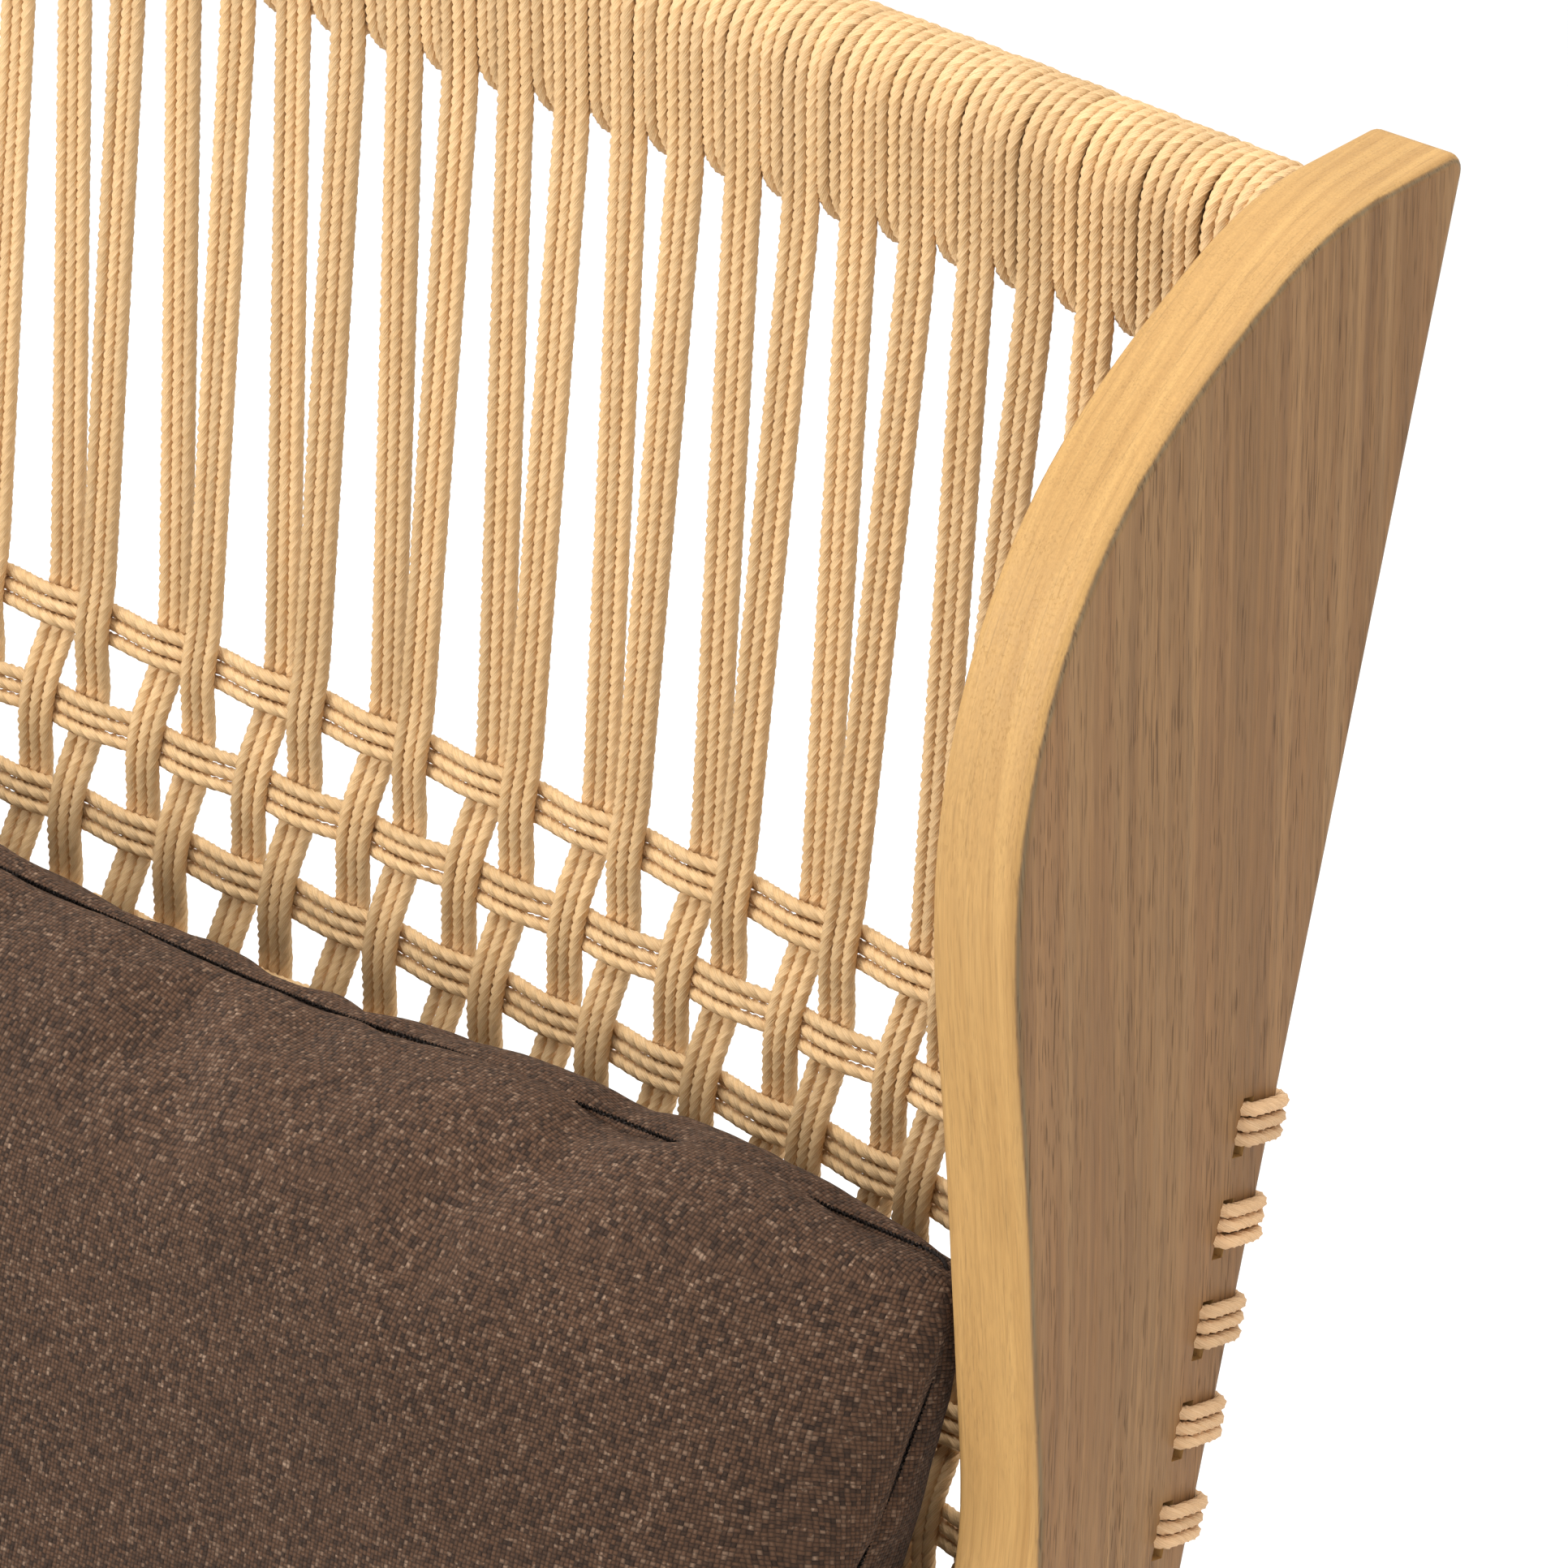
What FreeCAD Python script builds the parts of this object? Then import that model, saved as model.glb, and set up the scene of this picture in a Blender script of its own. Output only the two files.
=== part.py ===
import FreeCAD, Part
import math
import os

from FreeCAD import Placement, Rotation, Vector

# A high-backed wooden lounge armchair with a woven cord back.
#
# X runs across the chair, -Y is the side the sitter faces and +Z is up.  The profile of
# the side frames is drawn with the rear top corner of the wing posts at y = 0; at the end
# every piece is moved back or forward together, so that the middle of the footprint box
# stands on the origin.

os.makedirs("parts", exist_ok=True)
doc = FreeCAD.newDocument("Armchair")

# ---------------------------------------------------------------- driving dimensions (mm, degrees)
DIMENSIONS = {
    # overall
    "back_height": 1000.0,
    "inner_width": 648.0,
    "seat_run": 560.0,
    "plank_thickness": 27.0,
    "recline": 15.44,
    "edge_round": 3.0,
    # wing posts and rear legs
    "wing_reach": 172.0,
    "waist_width": 79.0,
    "post_width": 61.0,
    "foot_depth": 40.0,
    "rear_foot_kick": 48.0,
    "kink_height": 185.0,
    "rear_corner_round": 5.0,
    "neck_width": 3.0,
    "armpit_reach": 12.0,
    "armpit_drop": 16.0,
    "armpit_height": 78.0,
    # arms and front legs
    "arm_top_height": 585.0,
    "arm_thickness": 24.0,
    "arm_front_width": 54.0,
    "arm_overhang": 42.0,
    "arm_lip": 5.0,
    "arm_waist": 7.0,
    "toe_length": 92.0,
    "toe_setback": 22.0,
    "leg_depth": 45.0,
    "leg_foot_depth": 30.0,
    "leg_toe_in": 4.0,
    "leg_taper_drop": 12.0,
    # seat frame, sloping down towards the back
    "seat_tilt": 5.0,
    "seat_rail_top": 310.0,
    "seat_rail_height": 60.0,
    "seat_rail_thickness": 22.0,
    "rear_rail_inset": 20.0,
    "front_rail_inset": 9.0,
    "slat_count": 9.0,
    "slat_width": 44.0,
    "slat_thickness": 9.0,
    "slat_edge_gap": 12.0,
    "block_leg": 55.0,
    "block_height": 36.0,
    "block_nose": 8.0,
    "block_screw_step": 10.0,
    "block_screw_depth": 21.0,
    "block_screw_drop": 9.0,
    # cord-wrapped back rails
    "rail_core_height": 50.0,
    "rail_core_depth": 26.0,
    "rail_core_round": 12.0,
    "top_rail_sag": 13.0,
    "weave_sag": 24.0,
    "rail_drop": 2.0,
    "rail_setback": 18.6,
    "low_rail_height": 355.3,
    # cord
    "cord": 4.0,
    "cords_per_strap": 3.0,
    "warp_count": 32.0,
    "warp_edge_gap": 4.4,
    "first_weft_distance": 256.0,
    "weft_pitch": 27.9,
    "slot_setback": 13.9,
    "cord_clearance": 0.5,
    "cord_lift": 1.5,
    "wrap_play": 0.2,
    "warp_start": 6.0,
    "warp_tail": 9.0,
    "lashing_bevel": 2.4,
    "lashing_play": 1.0,
    "slot_play": 0.6,
    "slot_room_above": 0.8,
    "slot_room_below": 3.6,
    # cushions
    "seat_cushion_thickness": 110.0,
    "back_cushion_thickness": 118.0,
    "back_cushion_top": 741.0,
    "cushion_side_gap": 3.0,
    "cushion_round": 34.0,
    "soft_gap": 0.6,
    # fasteners
    "dowel_diameter": 8.0,
    "dowel_length": 36.0,
    "dowel_offset": 3.0,
    "arm_dowel_step": 7.0,
    "leg_dowel_step": 11.0,
    "back_dowel_step": 12.0,
    "screw_diameter": 4.0,
    "screw_head_diameter": 8.0,
    "screw_length": 34.0,
    "tack_diameter": 1.6,
    "tack_head_diameter": 5.0,
    "tack_length": 14.0,
    "tack_head_height": 1.2,
    "tack_rise": 12.0,
    "glide_diameter": 20.0,
    "glide_height": 4.0,
    "glide_pin_diameter": 4.0,
    "glide_pin_length": 14.0,
}

sheet = doc.addObject("Spreadsheet::Sheet", "Sizes")
for row, (alias, value) in enumerate(DIMENSIONS.items(), start=1):
    sheet.set("A%d" % row, alias)
    sheet.set("B%d" % row, str(value))
    sheet.setAlias("B%d" % row, alias)
doc.recompute()


def size(alias):
    """Value of one cell of the sheet."""
    return float(sheet.get(alias))


def bind(item, **links):
    """Tie properties of a document object to expressions of the sheet's cells."""
    for prop, expression in links.items():
        item.setExpression(prop.replace("__", "."), expression.replace("$", "Sizes."))
    return item


# ---------------------------------------------------------------- values worked out from the sheet
HALF_IN = size("inner_width") / 2
THICK = size("plank_thickness")
HALF_OUT = HALF_IN + THICK
TOP = size("back_height")
RECLINE = math.radians(size("recline"))
CORD = size("cord")
STRAP = CORD * size("cords_per_strap")
ARM_TOP = size("arm_top_height")
ARM_BOTTOM = ARM_TOP - size("arm_thickness")
RAIL_TOP = size("seat_rail_top")
RAIL_BOTTOM = RAIL_TOP - size("seat_rail_height")
RAIL_MID = (RAIL_TOP + RAIL_BOTTOM) / 2
GLIDE = size("glide_height")
KINK = size("kink_height")


def rear_edge(z):
    """y of the straight rear edge of the wing post at height z."""
    return (z - TOP) * math.tan(RECLINE)


def post_front(z):
    """y of the straight front edge of the rear leg between kink and arm, at height z."""
    return rear_edge(z) - size("post_width")


def on_back(distance, ahead):
    """Point (y, z) at a distance down the rear edge and so far ahead of it, square to it."""
    y = -distance * math.sin(RECLINE) - ahead * math.cos(RECLINE)
    z = TOP - distance * math.cos(RECLINE) + ahead * math.sin(RECLINE)
    return y, z


LEG_FRONT = rear_edge(RAIL_MID) - size("seat_run")
LEG_BACK = LEG_FRONT + size("leg_depth")
FRONT_RAIL_Y = LEG_FRONT + size("front_rail_inset")
TILT = math.radians(size("seat_tilt"))
SEAT_PLACE = Placement(Vector(0, FRONT_RAIL_Y, RAIL_TOP), Rotation(Vector(1, 0, 0), -size("seat_tilt")))
RAIL_T = size("seat_rail_thickness")
RAIL_HALF = size("seat_rail_height") / 2


def on_seat(along, up):
    """Point (y, z) so far behind the front rail's face and so far above the rails' top."""
    point = SEAT_PLACE.multVec(Vector(0, along, up))
    return point.y, point.z


def seat_way(along, up):
    """Direction (x, y, z) given along and up the sloping seat."""
    turned = SEAT_PLACE.Rotation.multVec(Vector(0, along, up))
    return turned.x, turned.y, turned.z


def seat_to_post(up):
    """How far along the seat a line at this height meets the straight front edge of the post."""
    run = (RAIL_TOP + up * math.cos(TILT) - TOP) * math.tan(RECLINE) - size("post_width")
    run -= FRONT_RAIL_Y + up * math.sin(TILT)
    return run / (math.cos(TILT) + math.sin(TILT) * math.tan(RECLINE))


def seat_to_weave(up, ahead):
    """How far along the seat a line at this height comes to a plane so far ahead of the rear edge."""
    run = -(FRONT_RAIL_Y + up * math.sin(TILT)) * math.cos(RECLINE)
    run += (RAIL_TOP + up * math.cos(TILT) - TOP) * math.sin(RECLINE) - ahead
    return run / math.cos(RECLINE - TILT)


REAR_ALONG = seat_to_post(-RAIL_HALF) + size("rear_rail_inset")
TOE_FRONT = rear_edge(ARM_TOP) - size("waist_width") - size("toe_length") + size("toe_setback")
ARM_FRONT = LEG_FRONT - size("arm_overhang")


# ---------------------------------------------------------------- building helpers
def origin_plane(body, role):
    """The origin plane of a body with the given role."""
    for feature in body.Origin.OriginFeatures:
        if feature.Role == role:
            return feature
    raise ValueError("no plane " + role)


def new_body(name, role, curves):
    """A body with one closed sketch on an origin plane."""
    body = doc.addObject("PartDesign::Body", name + "_blank")
    sketch = body.newObject("Sketcher::SketchObject", name + "_outline")
    sketch.AttachmentSupport = [(origin_plane(body, role), "")]
    sketch.MapMode = "FlatFace"
    sketch.addGeometry(curves, False)
    return body, sketch


def pad(body, sketch, length_expression):
    """Pad of a sketch whose length follows the sheet."""
    feature = body.newObject("PartDesign::Pad", sketch.Name + "_pad")
    feature.Profile = sketch
    bind(feature, Length=length_expression)
    sketch.Visibility = False
    doc.recompute()
    return feature


def round_edges(body, base, keep, radius_expression):
    """Fillet of every edge of the base feature that keep() accepts."""
    names = []
    for index, edge in enumerate(base.Shape.Edges, start=1):
        if keep(edge):
            names.append("Edge%d" % index)
    feature = body.newObject("PartDesign::Fillet", base.Name + "_fillet")
    feature.Base = (base, names)
    bind(feature, Radius=radius_expression)
    doc.recompute()
    return feature


def polygon(points):
    """Line segments joining points in order and back to the first."""
    ends = points[1:] + points[:1]
    return [Part.LineSegment(Vector(*a, 0), Vector(*b, 0)) for a, b in zip(points, ends)]


def chain(points):
    """Line segments joining points in order."""
    return [Part.LineSegment(Vector(*a, 0), Vector(*b, 0)) for a, b in zip(points, points[1:])]


def curve_through(points, start=None, finish=None):
    """Smooth curve through points, with a direction at each end if given."""
    curve = Part.BSplineCurve()
    vectors = [Vector(*p, 0) for p in points]
    if start is None:
        curve.interpolate(Points=vectors)
    else:
        curve.interpolate(Points=vectors, InitialTangent=Vector(*start, 0), FinalTangent=Vector(*finish, 0))
    return curve


def rod(name, diameter, length, foot, direction):
    """Cylinder from a foot point along a direction, with sizes bound to the sheet."""
    item = doc.addObject("Part::Cylinder", name)
    bind(item, Radius=diameter + " / 2", Height=length)
    item.Placement = Placement(Vector(*foot), Rotation(Vector(0, 0, 1), Vector(*direction)))
    return item


def group(name, items):
    """Compound of several loose solids under one name."""
    item = doc.addObject("Part::Compound", name)
    item.Links = items
    return item


def cut(label, base, tools):
    """A piece with the room for its fasteners taken out."""
    item = doc.addObject("Part::Cut", label)
    item.Base = base
    item.Tool = tools
    item.Label = label
    return item


def plain(label, shape):
    """Piece whose shape is worked out here from the sheet's values."""
    item = doc.addObject("Part::Feature", label)
    item.Shape = shape
    item.Placement = Placement()
    item.Label = label
    return item


nodes = []


def keep_node(item, label):
    """List a finished piece under the name of its file."""
    item.Label = label
    nodes.append(item)
    return item


SIDES = (("left", -1), ("right", 1))


def inner_x(sign, thickness=THICK):
    """Low x of a board of this thickness that lies against the inner face of a side."""
    return HALF_IN if sign > 0 else -HALF_IN - thickness


# ---------------------------------------------------------------- dowels
def dowel(name, centre, direction):
    """Dowel centred on a joint."""
    half = size("dowel_length") / 2
    foot = [c - half * d for c, d in zip(centre, direction)]
    return rod(name, "$dowel_diameter", "$dowel_length", foot, direction)


TOP_RAIL_HIGH = TOP - size("rail_drop") - CORD
TOP_RAIL_LOW = TOP_RAIL_HIGH - size("rail_core_height")
TOP_RAIL_MID_Y = -size("rail_setback") - CORD - size("rail_core_depth") / 2
LOW_RAIL_AHEAD = size("slot_setback") - size("cord_clearance") - CORD / 2
LOW_RAIL_HALF = size("rail_core_height") / 2
# the low rail keeps its height over the floor, and the weaving fills the back down to it
LOW_DISTANCE = (TOP - size("low_rail_height") + LOW_RAIL_AHEAD * math.sin(RECLINE)) / math.cos(RECLINE)
WOVEN_RUN = LOW_DISTANCE - LOW_RAIL_HALF - size("weft_pitch") - size("first_weft_distance")
WEFTS = int(WOVEN_RUN / size("weft_pitch") + 0.5) + 1
DOWEL_SPREAD = size("seat_rail_height") / 4


def side_dowels(side, sign):
    """All dowels of one side frame."""
    mid_x = sign * (HALF_IN + THICK / 2)
    rail_x = sign * (HALF_IN + RAIL_T / 2)
    face_x = sign * HALF_IN
    items = []
    leg_mid = (LEG_FRONT + LEG_BACK) / 2
    for index, step in enumerate((-1, 1)):
        tag = "_%s_%d" % (side, index)
        low = -RAIL_HALF + step * DOWEL_SPREAD
        leg_along = (LEG_BACK - FRONT_RAIL_Y - low * math.sin(TILT)) / math.cos(TILT)
        items.append(dowel("arm_joint" + tag, (mid_x + step * size("arm_dowel_step"), TOE_FRONT,
                                             ARM_TOP - size("arm_thickness") / 2), (0, 1, 0)))
        items.append(dowel("leg_top" + tag, (mid_x, leg_mid + step * size("leg_dowel_step"),
                                             ARM_BOTTOM - size("arm_thickness") / 4), (0, 0, 1)))
        for place, along in (("rear", seat_to_post(low)), ("front", leg_along)):
            items.append(dowel("side_rail_" + place + tag, (rail_x,) + on_seat(along, low), seat_way(1, 0)))
        front = (face_x,) + on_seat(RAIL_T / 2 - size("dowel_offset"), low)
        rear = (face_x,) + on_seat(REAR_ALONG + RAIL_T / 2 + size("dowel_offset"), low)
        items.append(dowel("front_rail" + tag, front, (1, 0, 0)))
        items.append(dowel("rear_rail" + tag, rear, (1, 0, 0)))
        rail_mid = (TOP_RAIL_HIGH + TOP_RAIL_LOW) / 2
        spread = step * size("back_dowel_step")
        items.append(dowel("top_rail" + tag, (face_x, TOP_RAIL_MID_Y, rail_mid + spread), (1, 0, 0)))
        y, z = on_back(LOW_DISTANCE - spread, LOW_RAIL_AHEAD)
        items.append(dowel("low_rail" + tag, (face_x, y, z), (1, 0, 0)))
    return group("joint_dowels_" + side, items)


dowels = {}
for side, sign in SIDES:
    dowels[side] = keep_node(side_dowels(side, sign), "joint_dowels_" + side)


# ---------------------------------------------------------------- wing posts with rear legs
# Crown of the wing: share of its reach, and drop below the top, from the rear forwards.
CROWN = ((0.198, 0.0), (0.52, 16.0), (0.77, 44.0), (0.94, 84.0), (1.02, 135.0), (1.0, 210.0))
WAIST_DROP = 300.0
# Front edge above the toe: how much narrower than the waist, and height above the arm.
TOE_SWELL = ((9.7, 62.0), (5.2, 24.0))
ARMPIT_LOW = ARM_BOTTOM - size("armpit_height")


def post_outline():
    """Side outline of a wing post: straight rear edge, S-shaped front edge, toe and leg."""
    crown = [(-share * size("wing_reach"), TOP - drop) for share, drop in CROWN]
    waist_z = TOP - WAIST_DROP
    crown.append((rear_edge(waist_z) - size("waist_width") - size("neck_width"), waist_z))
    toe_top = [(rear_edge(ARM_TOP + rise) - size("waist_width") + narrower, ARM_TOP + rise)
               for narrower, rise in TOE_SWELL]
    toe_top.append((TOE_FRONT, ARM_TOP))
    front = curve_through(crown + toe_top, (-1, 0), (-1, 0))
    armpit = curve_through([
        (TOE_FRONT, ARM_BOTTOM),
        (post_front(ARM_BOTTOM) - size("armpit_reach"), ARM_BOTTOM - size("armpit_drop")),
        (post_front(ARMPIT_LOW), ARMPIT_LOW),
    ], (1, 0), (-math.sin(RECLINE), -math.cos(RECLINE)))
    foot_back = rear_edge(KINK) + size("rear_foot_kick")
    start, finish = crown[0], (TOE_FRONT, ARM_TOP)
    lower = [
        (post_front(ARMPIT_LOW), ARMPIT_LOW),
        (post_front(KINK), KINK),
        (foot_back - size("foot_depth"), GLIDE),
        (foot_back, GLIDE),
        (rear_edge(KINK), KINK),
    ]
    # the rear top corner is rounded between the straight rear edge and the short level top
    ease = size("rear_corner_round")
    run = ease * math.tan((math.pi / 2 + RECLINE) / 2)
    corner_low = on_back(run, 0.0)
    corner_top = (-run, TOP)
    middle = (math.pi / 2 - RECLINE) / 2
    corner_mid = (-run + ease * math.cos(middle), TOP - ease + ease * math.sin(middle))
    curves = [front]
    curves += chain([finish, (TOE_FRONT, ARM_BOTTOM)])
    curves.append(armpit)
    curves += chain(lower + [corner_low])
    curves.append(Part.Arc(Vector(*corner_low, 0), Vector(*corner_mid, 0), Vector(*corner_top, 0)))
    curves += chain([corner_top, start])
    return curves


def slot_cutter(side, sign):
    """Row of slots through the post where the wefts pass near its rear edge."""
    wide = CORD + size("slot_play")
    low_end = -STRAP / 2 - size("slot_room_below")
    items = []
    for row in range(WEFTS):
        distance = size("first_weft_distance") + row * size("weft_pitch")
        y, z = on_back(distance, size("slot_setback"))
        item = doc.addObject("Part::Box", "slot_%s_%d" % (side, row))
        bind(item, Length="$plank_thickness + 2", Width="$cord + $slot_play",
             Height="$cord * $cords_per_strap + $slot_room_above + $slot_room_below")
        turn = Rotation(Vector(1, 0, 0), -size("recline"))
        corner = turn.multVec(Vector(0, -wide / 2, low_end))
        item.Placement = Placement(Vector(inner_x(sign) - 1, y, z) + corner, turn)
        items.append(item)
    return group("slots_" + side, items)


def in_side_plane(edge):
    """True for an edge that lies in one of the two broad faces."""
    box_ = edge.BoundBox
    flat = box_.XMax - box_.XMin < 0.01
    return flat and (abs(box_.XMin) < 0.01 or abs(box_.XMin - THICK) < 0.01)


def rounded_post_edge(edge):
    """Edges of the post that are eased: all but those of the toe's joint face and the foot."""
    box_ = edge.BoundBox
    joint = abs(box_.YMax - TOE_FRONT) < 0.1 and abs(box_.YMin - TOE_FRONT) < 0.1
    foot = box_.ZMax < GLIDE + 0.1
    return in_side_plane(edge) and not joint and not foot


glide_pins = []
for side, sign in SIDES:
    for place, y in (("rear", rear_edge(KINK) + size("rear_foot_kick") - size("foot_depth") / 2),
                     ("front", LEG_FRONT + size("leg_foot_depth") / 2 + size("leg_toe_in"))):
        name = "glide_%s_%s" % (place, side)
        x = sign * (HALF_IN + THICK / 2)
        disc = rod(name + "_disc", "$glide_diameter", "$glide_height", (x, y, 0), (0, 0, 1))
        pin = rod(name + "_pin", "$glide_pin_diameter", "$glide_pin_length", (x, y, GLIDE), (0, 0, 1))
        glide = doc.addObject("Part::Fuse", name)
        glide.Base = disc
        glide.Tool = pin
        keep_node(glide, name)
        glide_pins.append(glide)

for side, sign in SIDES:
    body, sketch = new_body("post_" + side, "YZ_Plane", post_outline())
    blank = pad(body, sketch, "$plank_thickness")
    round_edges(body, blank, rounded_post_edge, "$edge_round")
    body.Placement = Placement(Vector(inner_x(sign), 0, 0), Rotation())
    room = group("post_room_" + side, [dowels[side], slot_cutter(side, sign)] + glide_pins)
    keep_node(cut("wing_post_" + side, body, room), "wing_post_" + side)

# ---------------------------------------------------------------- front legs and arms
TAPER_TOP = RAIL_BOTTOM - size("leg_taper_drop")
TOE_Y = LEG_FRONT + size("leg_toe_in")
for side, sign in SIDES:
    leg_points = [
        (LEG_FRONT, ARM_BOTTOM),
        (LEG_FRONT, TAPER_TOP),
        (TOE_Y, GLIDE),
        (TOE_Y + size("leg_foot_depth"), GLIDE),
        (LEG_BACK, TAPER_TOP),
        (LEG_BACK, ARM_BOTTOM),
    ]
    body, sketch = new_body("leg_" + side, "YZ_Plane", polygon(leg_points))
    blank = pad(body, sketch, "$plank_thickness")

    def upright_edge(edge):
        box_ = edge.BoundBox
        return in_side_plane(edge) and box_.ZMax - box_.ZMin > size("leg_depth")

    round_edges(body, blank, upright_edge, "$edge_round")
    body.Placement = Placement(Vector(inner_x(sign), 0, 0), Rotation())
    room = group("leg_room_" + side, [dowels[side]] + glide_pins)
    keep_node(cut("front_leg_" + side, body, room), "front_leg_" + side)

for side, sign in SIDES:
    # plan outline: plank-wide at the joint, widening outwards to a rounded paddle
    wide = size("arm_front_width")
    inner_edge = HALF_IN - size("arm_lip")
    outer_edge = inner_edge + wide
    nose = ARM_FRONT + wide / 2
    inside = curve_through([
        (sign * HALF_IN, TOE_FRONT),
        (sign * (HALF_IN - size("arm_lip") / 5), TOE_FRONT + (nose - TOE_FRONT) * 0.35),
        (sign * inner_edge, nose),
    ], (0, -1), (0, -1))
    outside = curve_through([
        (sign * outer_edge, nose),
        (sign * (outer_edge - size("arm_waist")), TOE_FRONT + (nose - TOE_FRONT) * 0.55),
        (sign * HALF_OUT, TOE_FRONT),
    ], (0, 1), (0, 1))
    tip = Part.Arc(Vector(sign * inner_edge, nose, 0),
                   Vector(sign * (inner_edge + outer_edge) / 2, ARM_FRONT, 0),
                   Vector(sign * outer_edge, nose, 0))
    back = chain([(sign * HALF_OUT, TOE_FRONT), (sign * HALF_IN, TOE_FRONT)])
    body, sketch = new_body("arm_" + side, "XY_Plane", [inside, tip, outside] + back)
    blank = pad(body, sketch, "$arm_thickness")

    def arm_edge(edge):
        box_ = edge.BoundBox
        level = box_.ZMax - box_.ZMin < 0.01
        joint = box_.YMax - box_.YMin < 0.01
        return level and not joint

    round_edges(body, blank, arm_edge, "$edge_round")
    body.Placement = Placement(Vector(0, 0, ARM_BOTTOM), Rotation())
    keep_node(cut("arm_" + side, body, dowels[side]), "arm_" + side)

# ---------------------------------------------------------------- seat frame
screws = []


def screw(name, head, direction):
    """Countersunk screw: shank and a conical head whose top is at the head point."""
    radius = size("screw_diameter") / 2
    deep = size("screw_head_diameter") / 2 - radius
    cone = doc.addObject("Part::Cone", name + "_head")
    bind(cone, Radius1="$screw_head_diameter / 2", Radius2="$screw_diameter / 2",
         Height="$screw_head_diameter / 2 - $screw_diameter / 2")
    turn = Rotation(Vector(0, 0, 1), Vector(*direction))
    cone.Placement = Placement(Vector(*head), turn)
    foot = [h + deep * d for h, d in zip(head, direction)]
    shank = rod(name + "_shank", "$screw_diameter", "$screw_length", foot, direction)
    item = doc.addObject("Part::Fuse", name)
    item.Base = cone
    item.Tool = shank
    return item


BLOCK = size("block_leg")
NOSE = size("block_nose")
BLOCK_SCREW_X = BLOCK / 2 + size("block_screw_step")
block_items = {}
for side, sign in SIDES:
    for place, corner_y, way in (("front", RAIL_T, 1), ("rear", REAR_ALONG, -1)):
        name = "corner_block_%s_%s" % (place, side)
        corner_x = sign * HALF_IN
        points = [
            (corner_x, corner_y),
            (corner_x - sign * BLOCK, corner_y),
            (corner_x - sign * BLOCK, corner_y + way * NOSE),
            (corner_x - sign * NOSE, corner_y + way * BLOCK),
            (corner_x, corner_y + way * BLOCK),
        ]
        body, sketch = new_body(name, "XY_Plane", polygon(points))
        pad(body, sketch, "$block_height")
        low_face = Placement(Vector(0, 0, -RAIL_HALF - size("block_height") / 2), Rotation())
        body.Placement = SEAT_PLACE.multiply(low_face)
        block_items[name] = body
        first = (corner_x - sign * BLOCK / 2,) + on_seat(corner_y + way * BLOCK / 2, -RAIL_HALF)
        below = -RAIL_HALF - size("block_screw_drop")
        inward = corner_y + way * size("block_screw_depth")
        second = (corner_x - sign * BLOCK_SCREW_X,) + on_seat(inward, below)
        screws.append(screw(name + "_screw_x", first, (sign, 0, 0)))
        screws.append(screw(name + "_screw_y", second, seat_way(-way, 0)))
block_screws = keep_node(group("corner_block_screws", screws), "corner_block_screws")
for name, body in block_items.items():
    keep_node(cut(name, body, block_screws), name)

SLATS = int(size("slat_count"))
slat_span = 2 * (HALF_IN - size("slat_edge_gap")) - size("slat_width")
SLAT_EASE = 1.0
slat_length = REAR_ALONG + RAIL_T - 2 * SLAT_EASE
slat_screw_items = []
slat_blanks = []
for index in range(SLATS):
    x = -slat_span / 2 + index * slat_span / (SLATS - 1)
    item = doc.addObject("Part::Box", "slat_blank_%d" % index)
    bind(item, Length="$slat_width", Height="$slat_thickness")
    item.Width = slat_length
    slat_corner = Placement(Vector(x - size("slat_width") / 2, SLAT_EASE, 0), Rotation())
    item.Placement = SEAT_PLACE.multiply(slat_corner)
    slat_blanks.append(item)
    for end, along in (("front", RAIL_T / 2), ("rear", REAR_ALONG + RAIL_T / 2)):
        head = (x,) + on_seat(along, size("slat_thickness"))
        slat_screw_items.append(screw("slat_screw_%s_%d" % (end, index), head, seat_way(0, -1)))
slat_screws = keep_node(group("slat_screws", slat_screw_items), "slat_screws")
for index, blank in enumerate(slat_blanks):
    keep_node(cut("seat_slat_%d" % (index + 1), blank, slat_screws), "seat_slat_%d" % (index + 1))

seat_room = group("seat_room", [dowels["left"], dowels["right"], block_screws, slat_screws])
for place, along in (("front", 0.0), ("rear", REAR_ALONG)):
    rail = doc.addObject("Part::Box", place + "_rail_blank")
    bind(rail, Length="$inner_width", Width="$seat_rail_thickness", Height="$seat_rail_height")
    low_corner = Placement(Vector(-HALF_IN, along, -size("seat_rail_height")), Rotation())
    rail.Placement = SEAT_PLACE.multiply(low_corner)
    keep_node(cut(place + "_seat_rail", rail, seat_room), place + "_seat_rail")
for side, sign in SIDES:
    leg_low, leg_high = [RAIL_TOP - (LEG_BACK - FRONT_RAIL_Y) * math.tan(TILT) - drop / math.cos(TILT)
                         for drop in (size("seat_rail_height"), 0.0)]
    points = [
        (LEG_BACK, leg_low),
        on_seat(seat_to_post(-size("seat_rail_height")), -size("seat_rail_height")),
        on_seat(seat_to_post(0.0), 0.0),
        (LEG_BACK, leg_high),
    ]
    body, sketch = new_body("side_rail_" + side, "YZ_Plane", polygon(points))
    pad(body, sketch, "$seat_rail_thickness")
    body.Placement = Placement(Vector(inner_x(sign, RAIL_T), 0, 0), Rotation())
    keep_node(cut("side_seat_rail_" + side, body, seat_room), "side_seat_rail_" + side)


# ---------------------------------------------------------------- curved back rails
def arc_radius(sag):
    """Radius of a rail that is set back by sag at its middle."""
    return (HALF_IN ** 2 + sag ** 2) / (2 * sag)


def bow(x, sag):
    """How far a rail at x is set back from its ends."""
    radius = arc_radius(sag)
    return math.sqrt(radius ** 2 - x ** 2) - (radius - sag)


def lean(x, sag):
    """Slope in plan of a rail at x."""
    return math.tan(math.asin(x / arc_radius(sag)))


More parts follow.
